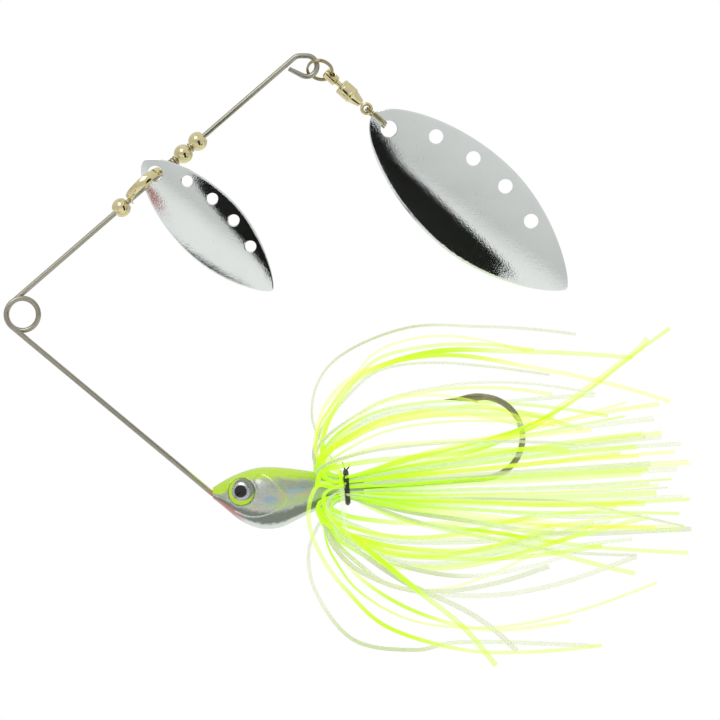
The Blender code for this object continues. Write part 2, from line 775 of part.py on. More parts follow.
def make_blade_ring():
    """The split ring that holds the large blade, edge-on to the side of the lure."""
    points = ring_points(BLADE_RING_AT, LARGE_ALONG, SIDE, math.radians(0))
    ring = curve_tube("blade_ring", [point - LOOP_AT for point in points], RING_WIRE_D / 2)
    ring.location = LOOP_AT
    keep(ring, BRASS)


def make_swivel_upper_eye():
    """The drilled stub that the ring runs in, with its headed shaft in the barrel."""
    head_start = BARREL_START + BARREL_WALL + BALL_PLAY
    profile = [
        (0.0, STUB_START),
        (STUB_R * 0.75, STUB_START),
        (STUB_R, STUB_START + 0.3 * MM),
        (STUB_R, STUB_END - 0.25 * MM),
        (NECK_R, STUB_END),
        (NECK_R, head_start),
        (FLANGE_R, head_start),
        (FLANGE_R, head_start + FLANGE_T),
        (0.0, head_start + FLANGE_T),
    ]
    eye = turned("swivel_upper_eye", profile, SWIVEL_HOLE, SWIVEL)
    hole = rod("swivel_cross_hole", SWIVEL_HOLE, RING_TANGENT, STUB_HOLE_R, 4 * STUB_R, 16)
    combine(eye, hole, "DIFFERENCE")
    keep(eye, BRASS)


def make_swivel_barrel():
    """The barrel, hollow from end to end, with a seat for the balls."""
    bore = NECK_R + GAP
    lower_bore = LOWER_NECK_R + GAP
    end = BARREL_START + BARREL_L
    inside = BARREL_R - BARREL_WALL
    profile = [
        (bore, BARREL_START),
        (BARREL_R - 0.25 * MM, BARREL_START),
        (BARREL_R, BARREL_START + 0.25 * MM),
        (BARREL_R, end - 0.12 * MM),
        (BARREL_R - 0.12 * MM, end),
        (CONE_END_R, CONE_END),
        (lower_bore, CONE_END),
        (lower_bore, BALL_SEAT),
        (inside, BALL_SEAT),
        (inside, BARREL_START + BARREL_WALL),
        (bore, BARREL_START + BARREL_WALL),
    ]
    barrel = turned("swivel_barrel", profile, SWIVEL_HOLE, SWIVEL, 24)
    keep(barrel, BRASS)


def make_swivel_lower_eye():
    """The lower shaft, whose head rests on the balls, with the loop for the blade's ring."""
    profile = [
        (0.0, LOWER_FLANGE_END - FLANGE_T),
        (FLANGE_R, LOWER_FLANGE_END - FLANGE_T),
        (FLANGE_R, LOWER_FLANGE_END),
        (LOWER_NECK_R, LOWER_FLANGE_END),
        (LOWER_NECK_R, CONE_END + LOOP_GAP + LOOP_WIRE_R),
        (0.0, CONE_END + LOOP_GAP + LOOP_WIRE_R),
    ]
    eye = turned("swivel_lower_eye", profile, SWIVEL_HOLE, SWIVEL, 16)
    steps, sides = 20, 10
    mesh = bpy.data.meshes.new("swivel_loop")
    torus = bmesh.new()
    rings = []
    for step in range(steps):
        angle = 2 * math.pi * step / steps
        out = SWIVEL * math.cos(angle) + SWIVEL_UP * math.sin(angle)
        ring = []
        for side in range(sides):
            turn = 2 * math.pi * side / sides
            offset = out * math.cos(turn) + SIDE * math.sin(turn)
            ring.append(torus.verts.new(out * LOOP_R + offset * LOOP_WIRE_R))
        rings.append(ring)
    for step in range(steps):
        this, after = rings[step], rings[(step + 1) % steps]
        for side in range(sides):
            beyond = (side + 1) % sides
            torus.faces.new((this[side], this[beyond], after[beyond], after[side]))
    bmesh.ops.recalc_face_normals(torus, faces=torus.faces)
    torus.to_mesh(mesh)
    torus.free()
    loop = bpy.data.objects.new("swivel_loop", mesh)
    loop.location = LOOP_AT
    combine(eye, hide(loop), "UNION")
    keep(eye, BRASS)


def make_bearing_balls():
    """The ring of balls between the lower shaft's head and the barrel's seat."""
    middle = SWIVEL_HOLE + SWIVEL * BALL_AT
    for number in range(BALLS):
        angle = 2 * math.pi * number / BALLS
        offset = SWIVEL_UP * math.cos(angle) + SIDE * math.sin(angle)
        mesh = bpy.data.meshes.new(f"bearing_ball_{number + 1}")
        ball = bmesh.new()
        bmesh.ops.create_icosphere(ball, subdivisions=2, radius=BALL_R)
        bmesh.ops.translate(ball, verts=ball.verts, vec=offset * BALL_CIRCLE_R)
        ball.to_mesh(mesh)
        ball.free()
        obj = bpy.data.objects.new(mesh.name, mesh)
        obj.location = middle
        keep(obj, STEEL)


# ---- Skirt ----


def strand_profile(number, azimuth):
    """The strand bundle's course as (distance behind the wrap, distance from the shank line)."""
    lift = abs(math.sin(azimuth)) ** 1.5
    swap = 1 if number % 2 else -1
    peak = LOOP_R_UP if azimuth < math.pi else LOOP_R_DOWN
    loop = LOOP_R_SIDE + (peak - LOOP_R_SIDE) * lift + swap * 1.2 * MM
    tail = TAIL_R_SIDE + (TAIL_R_UP - TAIL_R_SIDE) * lift + swap * 1.5 * MM
    reach = TAIL_END + swap * TAIL_STEP / 2
    if number == DROPPED_STRAND:
        front = [(28 * MM, 34 * MM), (23 * MM, loop)]
    else:
        front = [
            (LOOP_END + swap * 4 * MM, loop - 5 * MM),
            (36 * MM, loop - 1.6 * MM),
            (24 * MM, loop),
        ]
    front += [
        (13 * MM, loop * 0.92),
        (4 * MM, loop * 0.74),
        (-3 * MM, loop * 0.5),
        (-6.2 * MM, 7.6 * MM),
        (-5.4 * MM, 5.4 * MM),
        (-3.0 * MM, 3.9 * MM),
        (-1.0 * MM, TIE_R + 0.1 * MM),
    ]
    rear = [
        (1.0 * MM, TIE_R),
        (5 * MM, 3.4 * MM),
        (11 * MM, 5.6 * MM),
        (20 * MM, 7.6 * MM + 0.2 * (tail - TAIL_R_SIDE)),
        (34 * MM, tail * 0.9 + 1.0 * MM),
        (reach, tail + 1.0 * MM),
    ]
    return front + rear


def make_skirt():
    """Bundles of strands round the collar, each folded back over itself in front of the wrap."""
    for number in range(STRANDS):
        azimuth = math.pi / 2 + TOP_GAP_ANGLE + SKIRT_SPREAD * number / (STRANDS - 1)
        azimuth %= 2 * math.pi
        points = []
        shares = []
        for along, out in strand_profile(number, azimuth):
            points.append(shank_at(along, out * math.sin(azimuth), out * math.cos(azimuth)))
            shares.append(min(1.0, out * STRAND_R_SHARE / STRAND_R))
        name = f"skirt_strands_{number + 1:02d}"
        tuft = curve_tube(name, points, STRAND_R, shares)
        tuft.data.bevel_resolution = 1
        keep(tuft, CHARTREUSE if number % 2 else PEARL)


def make_thread_wrap():
    """The thread that ties the skirt on the collar."""
    inner = TIE_R * (1 + STRAND_R_SHARE) + GAP
    outer = inner + WRAP_H
    profile = [
        (inner, -WRAP_W / 2),
        (outer - 0.2 * MM, -WRAP_W / 2),
        (outer, -WRAP_W / 4),
        (outer, WRAP_W / 4),
        (outer - 0.2 * MM, WRAP_W / 2),
        (inner, WRAP_W / 2),
    ]
    keep(turned("thread_wrap", profile, shank_at(0.0), in_plane(SHANK_TILT), 28), THREAD)


def build():
    """Make every piece."""
    make_wire_frame()
    make_hook()
    make_head()
    make_eyes()
    make_thread_wrap()
    make_skirt()
    make_bead("lower_bead", LOWER_BEAD_U, BRASS)
    make_clevis()
    make_blade(
        "small_blade", SMALL_HANG_AT, SMALL_L, SMALL_W, SMALL_T, SMALL_CUP, SMALL_ANGLE,
        SMALL_TILT, SMALL_HANG, SMALL_HANG_R, SMALL_DOTS, SMALL_DOT_R,
    )
    make_crimp("lower_crimp", LOWER_CRIMP_U, LOWER_CRIMP_L, 2)
    make_bead("upper_bead_a", BEAD_A_U, BRASS)
    make_crimp("upper_crimp", UPPER_CRIMP_U, UPPER_CRIMP_L, 1)
    make_bead("upper_bead_b", BEAD_B_U, BRASS)
    make_wire_ring()
    make_swivel_upper_eye()
    make_swivel_barrel()
    make_swivel_lower_eye()
    make_bearing_balls()
    make_blade_ring()
    large_hang = LARGE_PIVOT + LARGE_ALONG * LARGE_HANG_SLACK
    make_blade(
        "large_blade", large_hang, LARGE_L, LARGE_W, LARGE_T, LARGE_CUP, LARGE_ANGLE,
        LARGE_TILT, LARGE_HANG, LARGE_HANG_R, LARGE_DOTS, LARGE_DOT_R,
    )


build()
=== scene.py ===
"""A tandem spinnerbait, built round its packed frame.

Laid out as a Blender add-on: the sizes and colours that a maker would change are properties,
each group of pieces has its own operator, and main() runs them in order.
Metres, +Z up. The origin is the middle of the line-tie coil and the nose points to -X.
"""

import json
import math
import random

import bmesh
import bpy
from bpy.props import FloatProperty, FloatVectorProperty, IntProperty, PointerProperty
from mathutils import Matrix, Vector


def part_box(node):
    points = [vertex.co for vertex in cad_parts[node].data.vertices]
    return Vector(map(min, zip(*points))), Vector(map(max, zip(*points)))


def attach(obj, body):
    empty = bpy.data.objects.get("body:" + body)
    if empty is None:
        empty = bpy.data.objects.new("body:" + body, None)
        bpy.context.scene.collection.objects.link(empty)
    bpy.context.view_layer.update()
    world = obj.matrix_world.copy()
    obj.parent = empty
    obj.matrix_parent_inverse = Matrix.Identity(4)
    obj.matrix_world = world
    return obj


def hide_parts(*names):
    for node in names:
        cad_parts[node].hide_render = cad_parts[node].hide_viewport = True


bl_info = {
    "name": "Spinnerbait",
    "version": (1, 0, 0),
    "blender": (4, 5, 0),
    "location": "3D View > Sidebar > Spinnerbait",
    "description": "Builds a tandem spinnerbait round its packed frame",
    "category": "Object",
}

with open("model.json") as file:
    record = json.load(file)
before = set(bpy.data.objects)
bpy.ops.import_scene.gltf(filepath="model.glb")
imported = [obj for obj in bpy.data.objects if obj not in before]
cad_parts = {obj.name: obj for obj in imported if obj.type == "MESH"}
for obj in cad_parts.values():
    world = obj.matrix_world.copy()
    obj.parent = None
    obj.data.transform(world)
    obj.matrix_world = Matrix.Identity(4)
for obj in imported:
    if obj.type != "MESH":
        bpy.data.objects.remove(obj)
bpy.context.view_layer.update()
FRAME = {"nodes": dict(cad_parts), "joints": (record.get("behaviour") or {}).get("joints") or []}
JOINTS = {joint["name"]: joint for joint in FRAME["joints"]}
MM = 0.001
UP = Vector((0, 0, 1))
FORE = Vector((1, 0, 0))
SIDE = Vector((0, 1, 0))
TO_VIEW = Vector((0, -1, 0))


def joint_at(name):
    """Where a joint of the frame is."""
    return Vector(JOINTS[name]["pos_m"])


def joint_axis(name):
    """The unit axis of a joint of the frame."""
    return Vector(JOINTS[name]["axis"]).normalized()


def box_middle(node):
    """The middle of a node's box."""
    low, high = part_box(node)
    return (low + high) / 2


# ---- Sizes and colours ----


def size(name, description, default):
    """A length property in metres, given in millimetres."""
    return FloatProperty(
        name=name, description=description, default=default * MM, unit="LENGTH", precision=6
    )


def share(name, description, default):
    """A plain share or factor."""
    return FloatProperty(name=name, description=description, default=default)


def turn(name, description, degrees):
    """An angle property, given in degrees."""
    return FloatProperty(
        name=name, description=description, default=math.radians(degrees), subtype="ANGLE"
    )


def colour(name, description, default):
    """A linear colour property."""
    return FloatVectorProperty(
        name=name, description=description, default=default, size=3, subtype="COLOR",
        min=0.0, max=1.0,
    )


class WireSizes(bpy.types.PropertyGroup):
    """The bent wire frame"""

    diameter: size("Wire", "Diameter of the spring wire", 1.0)
    coil_radius: size("Coil radius", "Line tie, to the middle of the wire", 3.03)
    coil_pitch: size("Coil pitch", "Step sideways in one turn of the line tie", 1.12)
    upper_angle: turn("Upper arm", "Rise of the upper arm", 40.9)
    lower_angle: turn("Lower arm", "Fall of the lower arm", 39.8)
    lower_length: size("Lower arm", "Coil to the bend in the nose", 48.8)
    eye_radius: size("Eye radius", "Outer eye, to the middle of the wire", 1.95)
    eye_flat: size("Eye flat", "Straight top of the D-shaped eye", 1.2)
    eye_turn: turn("Eye turn", "How far the eye bends round", 206.6)
    eye_tail: size("Eye tail", "Cut end laid back beside the arm", 2.8)
    steel: colour("Steel", "Drawn stainless wire", (0.36, 0.34, 0.27))


class HookSizes(bpy.types.PropertyGroup):
    """The hook"""

    diameter: size("Wire", "Diameter of the hook wire", 1.15)
    tilt: turn("Shank tilt", "Rise of the shank to the rear", 3.66)
    bend_back: size("Bend", "Thread wrap to the start of the bend", 26.0)
    bend_radius: size("Bend radius", "To the middle of the wire", 7.7)
    point_length: size("Point", "End of the bend to the point", 6.7)
    barb_length: size("Barb", "Length of the cut barb", 1.9)
    bronze: colour("Bronze", "Dark bronzed steel", (0.29, 0.255, 0.17))


class HeadSizes(bpy.types.PropertyGroup):
    """The cast head and its eyes"""

    collar_radius: size("Collar", "Radius of the skirt collar", 2.05)
    eye_radius: size("Eye", "Radius of the domed eye", 2.5)
    eye_height: size("Eye dome", "Rise of the domed eye", 1.1)
    gill_rise: size("Gill rise", "Height of the raised gill line", 0.16)
    back: colour("Back", "Chartreuse paint of the back", (0.5, 0.74, 0.015))
    silver: colour("Flank", "Foil of the flank", (0.56, 0.59, 0.53))
    # The low band's colour is painted shade, standing in for the shade on the lower flank.
    shade: colour("Low band", "Dark band above the belly", (0.13, 0.15, 0.12))
    belly: colour("Belly", "Pale belly", (0.72, 0.76, 0.72))
    throat: colour("Throat", "Red throat", (0.52, 0.16, 0.13))


class SkirtSizes(bpy.types.PropertyGroup):
    """The tied skirt"""

    strand_width: size("Strand width", "Width of a silicone strand", 1.15)
    strand_flatness: share("Flatness", "Thickness of a strand over its width", 0.55)
    chartreuse: colour("Chartreuse", "Dyed silicone", (0.86, 1.0, 0.05))
    pearl: colour("Pearl", "Clear silicone with pearl", (0.82, 0.86, 0.6))
    seed: IntProperty(name="Seed", description="Lay of the strands", default=7)


class BladeSizes(bpy.types.PropertyGroup):
    """The two willow-leaf blades"""

    small_length: size("Small length", "Root to tip", 34.4)
    small_width: size("Small half width", "Half width", 6.6)
    large_length: size("Large length", "Root to tip", 49.3)
    large_width: size("Large half width", "Half width", 9.95)
    nickel: colour("Nickel", "Plated brass", (0.8, 0.83, 0.8))


class FittingSizes(bpy.types.PropertyGroup):
    """Beads, collars, clevis, split rings and swivel"""

    bead_radius: size("Bead", "Radius of a bead", 1.8)
    bead_length: size("Bead length", "Along the wire", 3.0)
    collar_radius: size("Collar", "Radius of a crimped collar", 1.0)
    ring_radius: size("Ring", "Split ring, to the middle of the wire", 2.38)
    ring_wire: size("Ring wire", "Diameter of the ring wire", 0.4)
    barrel_radius: size("Barrel", "Radius of the swivel barrel", 1.55)
    brass: colour("Brass", "Polished brass", (0.78, 0.69, 0.4))


GROUPS = {
    "spinner_wire": WireSizes,
    "spinner_hook": HookSizes,
    "spinner_head": HeadSizes,
    "spinner_skirt": SkirtSizes,
    "spinner_blades": BladeSizes,
    "spinner_fittings": FittingSizes,
}


def sizes(group):
    """The scene's values of one group of sizes."""
    return getattr(bpy.context.scene, "spinner_" + group)


# ---- Finishes ----


class Value:
    """A number in a material's nodes. Arithmetic on it adds Math nodes."""

    def __init__(self, finish, socket):
        self.finish = finish
        self.socket = socket

    def math(self, operation, *others):
        """The result of a Math node on this value and up to two more."""
        node = self.finish.node("ShaderNodeMath", {"operation": operation})
        for place, value in enumerate((self, *others)):
            self.finish.feed(node.inputs[place], value)
        return Value(self.finish, node.outputs[0])

    def __add__(self, other):
        return self.math("ADD", other)

    def __sub__(self, other):
        return self.math("SUBTRACT", other)

    def __rsub__(self, other):
        return self.math("MULTIPLY", -1.0).math("ADD", other)

    def __mul__(self, other):
        return self.math("MULTIPLY", other)

    def __truediv__(self, other):
        return self.math("DIVIDE", other)

    def __pow__(self, other):
        return self.math("POWER", other)

    __radd__ = __add__
    __rmul__ = __mul__

    def step(self, low, high):
        """0 below low to 1 above high, smoothly. low may be the larger, which turns it round."""
        node = self.finish.node("ShaderNodeMapRange", {"interpolation_type": "SMOOTHSTEP"})
        for name, value in (("Value", self), ("From Min", low), ("From Max", high)):
            self.finish.feed(node.inputs[name], value)
        return Value(self.finish, node.outputs["Result"])


class Finish:
    """A material under construction, round one Principled shader."""

    def __init__(self, name, **constants):
        self.material = bpy.data.materials.new(name)
        self.material.use_nodes = True
        self.tree = self.material.node_tree
        self.shader = self.tree.nodes["Principled BSDF"]
        for socket, value in constants.items():
            self.shader.inputs[socket.replace("_", " ")].default_value = value

    def node(self, kind, settings=None, **inputs):
        """A node of that kind: its settings first, then the values or links of its sockets."""
        node = self.tree.nodes.new(kind)
        for name, value in (settings or {}).items():
            setattr(node, name, value)
        for name, value in inputs.items():
            self.feed(node.inputs[name.replace("_", " ")], value)
        return node

    def feed(self, socket, value):
        """Link a value to a socket, or set the socket to it."""
        if isinstance(value, Value):
            value = value.socket
        if isinstance(value, bpy.types.NodeSocket):
            self.tree.links.new(value, socket)
        elif hasattr(value, "__len__") and len(value) == 3 and len(socket.default_value) == 4:
            socket.default_value = (*value, 1.0)
        else:
            socket.default_value = value

    def place(self):
        """Object coordinates in millimetres, as three values."""
        spot = self.node("ShaderNodeTexCoord").outputs["Object"]
        scaled = self.node("ShaderNodeVectorMath", {"operation": "SCALE"}, Scale=1000.0)
        self.tree.links.new(spot, scaled.inputs[0])
        parts = self.node("ShaderNodeSeparateXYZ")
        self.tree.links.new(scaled.outputs[0], parts.inputs[0])
        return [Value(self, output) for output in parts.outputs]

    def spot(self, stretch=(1, 1, 1)):
        """Object coordinates in millimetres, stretched, as a vector socket."""
        mapping = self.node("ShaderNodeMapping", Scale=[1000.0 * part for part in stretch])
        source = self.node("ShaderNodeTexCoord").outputs["Object"]
        self.tree.links.new(source, mapping.inputs["Vector"])
        return mapping.outputs["Vector"]

    def noise(self, scale, detail=2.0, stretch=(1, 1, 1), roughness=0.5):
        """Noise about 0.5, with scale cells to a millimetre."""
        node = self.node(
            "ShaderNodeTexNoise", Vector=self.spot(stretch), Scale=scale, Detail=detail,
            Roughness=roughness,
        )
        return Value(self, node.outputs[0])

    def attribute(self, name):
        """A number stored on the piece's points."""
        node = self.node("ShaderNodeAttribute", {"attribute_name": name})
        return Value(self, node.outputs["Fac"])

    def mix(self, factor, first, second):
        """Two colours mixed, as a colour socket."""
        node = self.node("ShaderNodeMix", {"data_type": "RGBA"})
        self.feed(node.inputs[0], factor)
        self.feed(node.inputs[6], first)
        self.feed(node.inputs[7], second)
        return node.outputs[2]

    def bump(self, height, distance, strength=1.0, over=None):
        """A bump whose height is in units of distance, in millimetres."""
        node = self.node("ShaderNodeBump", Strength=strength, Distance=distance * MM)
        self.feed(node.inputs["Height"], height)
        if over is not None:
            self.feed(node.inputs["Normal"], over)
        return node.outputs["Normal"]

    def wear(self, **sockets):
        """Feed what changes over the surface to the shader, and give the material."""
        for name, value in sockets.items():
            self.feed(self.shader.inputs[name.replace("_", " ")], value)
        return self.material


def drawn_steel():
    """Stainless wire: fine lines along it and a faint brown stain."""
    tone = sizes("wire").steel
    finish = Finish("drawn_steel", Metallic=1.0)
    stain = finish.noise(0.35, 4.0).step(0.4, 0.7)
    lines = finish.noise(3.0, 3.0, (0.3, 1, 1))
    dark = [part * 0.55 for part in tone]
    skin = finish.mix(stain * 0.6, tone, dark)
    return finish.wear(
        Base_Color=finish.mix(lines.step(0.35, 0.75) * 0.2, skin, (0.56, 0.54, 0.44)),
        Roughness=0.26 + lines * 0.08,
        Normal=finish.bump(lines, 0.002, 0.25),
    )


def painted_wire():
    """The wire near the head, where the paint has run up it."""
    group = sizes("head")
    steel = sizes("wire").steel
    finish = Finish("painted_wire", Coat_Weight=0.3)
    across, _, height = finish.place()
    edge = finish.noise(1.2, 3.0)
    run_up = (across + edge * 2.4).step(31.5, 33.5) * height.step(-20.0, -24.0)
    topside = (height + across * 0.833).step(-4.0, -3.2)
    at_nose = (across + edge * 1.5).step(35.0, 37.4)
    painted = run_up * (topside + (1.0 - topside) * at_nose)
    paint = finish.mix(topside, group.throat, group.back)
    lines = finish.noise(9.0, 3.0, (0.25, 1, 1))
    skin = finish.mix(lines.step(0.35, 0.75) * 0.35, steel, (0.56, 0.54, 0.44))
    return finish.wear(
        Base_Color=finish.mix(painted, skin, paint),
        Metallic=1.0 - painted,
        Roughness=0.25 + edge * 0.15,
        Normal=finish.bump(edge, 0.02, 0.4),
    )


def bronzed_steel():
    """The hook: dark bronze lacquer, worn lighter in patches."""
    tone = sizes("hook").bronze
    finish = Finish("bronzed_steel", Metallic=1.0, Coat_Weight=0.4, Coat_Roughness=0.15)
    worn = finish.noise(0.8, 5.0).step(0.45, 0.75)
    grain = finish.noise(6.0, 3.0)
    return finish.wear(
        Base_Color=finish.mix(worn * 0.7, tone, (0.42, 0.38, 0.25)),
        Roughness=0.22 + grain * 0.2,
        Normal=finish.bump(grain, 0.02, 0.5),
    )


def brass(name="polished_brass", tone=None, dull=0.0):
    """Polished brass with light tarnish and fine scratches."""
    tone = tone or sizes("fittings").brass
    finish = Finish(name, Metallic=1.0)
    tarnish = finish.noise(0.9, 4.0).step(0.45, 0.8)
    hairs = finish.noise(14.0, 2.0, (1, 1, 0.2))
    deep = [part * fade for part, fade in zip(tone, (0.6, 0.52, 0.4))]
    return finish.wear(
        Base_Color=finish.mix(tarnish * 0.55, tone, deep),
        Roughness=0.09 + dull + tarnish * 0.14 + hairs.step(0.6, 0.8) * 0.08,
        Normal=finish.bump(hairs, 0.004, 0.5),
    )


def nickel_plate():
    """Mirror nickel with orange peel, pinholes and a few hairlines."""
    tone = sizes("blades").nickel
    finish = Finish("nickel_plate", Metallic=1.0)
    peel = finish.noise(3.4, 3.0)
    swell = finish.noise(0.5, 2.0)
    pits = finish.noise(4.6, 4.0, roughness=0.75).step(0.66, 0.72)
    cloud = finish.noise(0.16, 3.0).step(0.35, 0.75)
    speck = pits * (0.25 + cloud * 0.75)
    hair = finish.noise(2.0, 1.0, (3.5, 1, 0.35)).step(0.7, 0.74)
    skin = finish.mix(cloud * 0.3, tone, [part * 0.86 for part in tone])
    relief = finish.bump(swell, 0.05, 0.35)
    return finish.wear(
        Base_Color=finish.mix(speck * 0.7 + hair * 0.15, skin, (0.16, 0.15, 0.14)),
        Roughness=0.03 + cloud * 0.03 + speck * 0.35,
        Normal=finish.bump(peel, 0.026, 0.8, relief),
    )


def bearing_steel():
    """Ground steel balls."""
    finish = Finish("bearing_steel", Metallic=1.0)
    grain = finish.noise(12.0, 2.0)
    tone = finish.mix(grain, (0.6, 0.6, 0.6), (0.5, 0.5, 0.52))
    return finish.wear(Base_Color=tone, Roughness=0.08 + grain * 0.1)


def head_paint():
    """The head: chartreuse back, foil flank with coloured glints, a dark low band that is painted
    shade, painted highlights along the gill line, and belly.
    """
    group = sizes("head")
    finish = Finish("head_paint", Coat_Weight=1.0, Coat_Roughness=0.05, IOR=1.5)
    across, _, height = finish.place()
    level = finish.attribute("level")
    ragged = (finish.noise(1.1, 4.0) - 0.5) * 0.35
    weave = finish.noise(5.5, 2.0, (1, 1, 1.6), 0.7)
    fine = finish.noise(11.0, 2.0)

    def glint(x, z, long, tall, lean=0.0):
        """A soft patch on the flank: 1 in its middle."""
        over = (height - z - (across - x) * lean) / tall
        return ((((across - x) / long) ** 2.0) + over ** 2.0).step(1.0, 0.0)

    foil = finish.mix(weave.step(0.35, 0.7), [part * 0.66 for part in group.silver], group.silver)
    foil = finish.mix(glint(47.2, -35.0, 2.2, 1.1) * 0.6, foil, (0.22, 0.36, 0.62))
    foil = finish.mix(glint(49.0, -34.2, 1.3, 0.9) * 0.45, foil, (0.72, 0.36, 0.3))
    foil = finish.mix(glint(51.7, -33.0, 2.6, 0.7, 0.1) * 0.55, foil, (0.24, 0.5, 0.66))
    foil = finish.mix(glint(53.3, -33.9, 2.4, 0.45, 0.15) * 0.5, foil, (0.8, 0.4, 0.34))
    foil = finish.mix(glint(44.5, -36.6, 2.0, 0.7) * 0.35, foil, (0.6, 0.38, 0.42))
    tint = finish.noise(0.42, 2.0, (1, 1, 1.8)).step(0.45, 0.7)
    foil = finish.mix(tint * 0.35, foil, (0.5, 0.68, 0.2))
    lime = (1.0 - (level + ragged).math("SUBTRACT", -0.2).math("ABSOLUTE").step(0.05, 0.2))
    foil = finish.mix(lime * 0.5 * across.step(44.0, 50.0), foil, (0.42, 0.6, 0.12))
    # Painted shade: a dark band low on the flank, above the belly, where the head turns away from
    # the light.
    band = (level + ragged * 0.8).step(-0.36, -0.55)
    skin = finish.mix(band * 0.92, foil, group.shade)
    skin = finish.mix((level + ragged * 0.4).step(-0.78, -0.88), skin, group.belly)
    front = across.step(40.5, 37.0)
    back_edge = 0.62 - front * 0.75
    back = (level + ragged * 0.5 - back_edge).step(-0.1, 0.14)
    skin = finish.mix(back, skin, group.back)
    throat = (level + ragged * 0.4).step(-0.58, -0.78) * across.step(43.0, 39.0)
    skin = finish.mix(throat, skin, group.throat)
    # Painted highlight along the raised gill line: chartreuse above the dark band, pale within it.
    ridge = finish.attribute("gill")
    skin = finish.mix(ridge.step(0.3, 0.9) * (1.0 - band) * 0.75, skin, group.back)
    skin = finish.mix(ridge.step(0.3, 0.9) * band * 0.8, skin, group.belly)
    chip = finish.noise(2.3, 3.0).step(0.74, 0.77)
    skin = finish.mix(chip * 0.8, skin, (0.05, 0.06, 0.03))
    bare = (1.0 - back) * (1.0 - throat)
    return finish.wear(
        Base_Color=skin,
        Metallic=bare * 0.45,
        Roughness=0.22 + bare * weave * 0.3,
        Normal=finish.bump(weave * bare + fine * 0.3, 0.02, 0.5),
    )


def eye_finish():
    """A foil iris with a black pupil and a chartreuse rim, under a clear dome."""
    group = sizes("head")
    finish = Finish("eye_foil", Coat_Weight=0.4, Coat_Roughness=0.02, Specular_IOR_Level=0.3)
    across, _, height = finish.place()
    middle = EYE_AT / MM

    def ring(dx, dz):
        """Distance in millimetres from a point near the eye's middle."""
        x = across - (middle.x + dx)
        z = height - (middle.z + dz)
        return (x * x + z * z) ** 0.5

    foil = finish.noise(7.0, 3.0)
    rim = ring(-0.1, 0.1)
    iris = finish.mix(foil.step(0.3, 0.75), (0.3, 0.32, 0.32), (0.7, 0.72, 0.72))
    skin = finish.mix(rim.step(1.6, 1.78), iris, (0.2, 0.22, 0.19))
    crescent = ring(0.42, 0.5).step(1.95, 2.15) * rim.step(1.66, 1.8)
    skin = finish.mix(crescent, skin, group.back)
    pupil = ring(-0.12, 0.12).step(1.22, 1.14)
    skin = finish.mix(pupil, skin, (0.008, 0.008, 0.008))
    silvered = (1.0 - pupil) * rim.step(1.78, 1.62)
    return finish.wear(
        Base_Color=skin,
        Metallic=silvered * 0.8,
        Roughness=0.12 + silvered * foil * 0.3,
        Normal=finish.bump(foil, 0.01, 0.3),
    )


def black_thread():
    """Waxed black thread, with the lay of its plies."""
    finish = Finish("black_thread", Sheen_Weight=0.25)
    fibre = finish.noise(16.0, 3.0, (1, 1, 0.5))
    tone = finish.mix(fibre.step(0.4, 0.8), (0.006, 0.007, 0.006), (0.05, 0.055, 0.045))
    return finish.wear(
        Base_Color=tone, Roughness=0.5 + fibre * 0.3, Normal=finish.bump(fibre, 0.03, 0.8)
    )


def silicone(name, tone, deep, painted_glow, clear):
    """Soft translucent silicone: clearer in places, with a few dark flakes, painted shade near the
    tie and a painted glow of its own colour.
    """
    # The emission is a painted glow, standing in for light shining through the strands.
    finish = Finish(name, IOR=1.42, Emission_Strength=painted_glow, Coat_Weight=0.15)
    own = finish.attribute("own_shade")
    along = finish.attribute("along")
    cloud = finish.noise(0.22, 3.0)
    fleck = finish.noise(2.6, 3.0, roughness=0.7).step(0.765, 0.775)
    # Painted shade: the strands are deeper in tone near the tie, where they crowd together and
    # shade one another.
    near_tie = (along - 0.5).math("ABSOLUTE").step(0.2, 0.02)
    skin = finish.mix(own * 0.6 + cloud * 0.3, tone, deep)
    skin = finish.mix(near_tie * 0.8, skin, deep)
    skin = finish.mix(fleck * 0.8, skin, (0.08, 0.09, 0.03))
    grain = finish.noise(1.1, 2.0)
    body = clear + own * 0.14 + cloud * 0.08 + near_tie * 0.5 + fleck * 0.4
    return finish.wear(
        Base_Color=skin,
        # Painted glow in the strand's own colour.
        Emission_Color=skin,
        Roughness=0.34 + grain * 0.2,
        Alpha=body.math("MINIMUM", 0.96),
        Normal=finish.bump(grain, 0.02, 0.3),
    )


# ---- Shapes ----


def in_plane(angle):
    """The unit vector in the XZ plane at an angle above +X."""
    return Vector((math.cos(angle), 0, math.sin(angle)))


def arc(middle, first, second, radius, start, sweep, steps):
    """Points on an arc in the plane of two unit vectors, both ends included."""
    angles = [start + sweep * step / steps for step in range(steps + 1)]
    return [middle + (first * math.cos(a) + second * math.sin(a)) * radius for a in angles]


def smooth_between(values, position):
    """A Catmull-Rom value between those of a list, at a fractional index."""
    last = len(values) - 1
    index = min(int(position), last - 1)
    t = position - index
    before = values[max(index - 1, 0)]
    first, second = values[index], values[index + 1]
    after = values[min(index + 2, last)]
    return 0.5 * (
        2 * first
        + (second - before) * t
        + (2 * before - 5 * first + 4 * second - after) * t * t
        + (3 * first - before - 3 * second + after) * t ** 3
    )


def smooth_path(points, spans):
    """A smooth run of points through the given ones, spans to each gap."""
    count = (len(points) - 1) * spans
    return [smooth_between(points, step / spans) for step in range(count + 1)]


def mesh_of(shape, name):
    """A bmesh as a mesh with its faces outwards."""
    bmesh.ops.remove_doubles(shape, verts=shape.verts, dist=0.0005 * MM)
    bmesh.ops.recalc_face_normals(shape, faces=shape.faces)
    mesh = bpy.data.meshes.new(name)
    shape.to_mesh(mesh)
    shape.free()
    return mesh


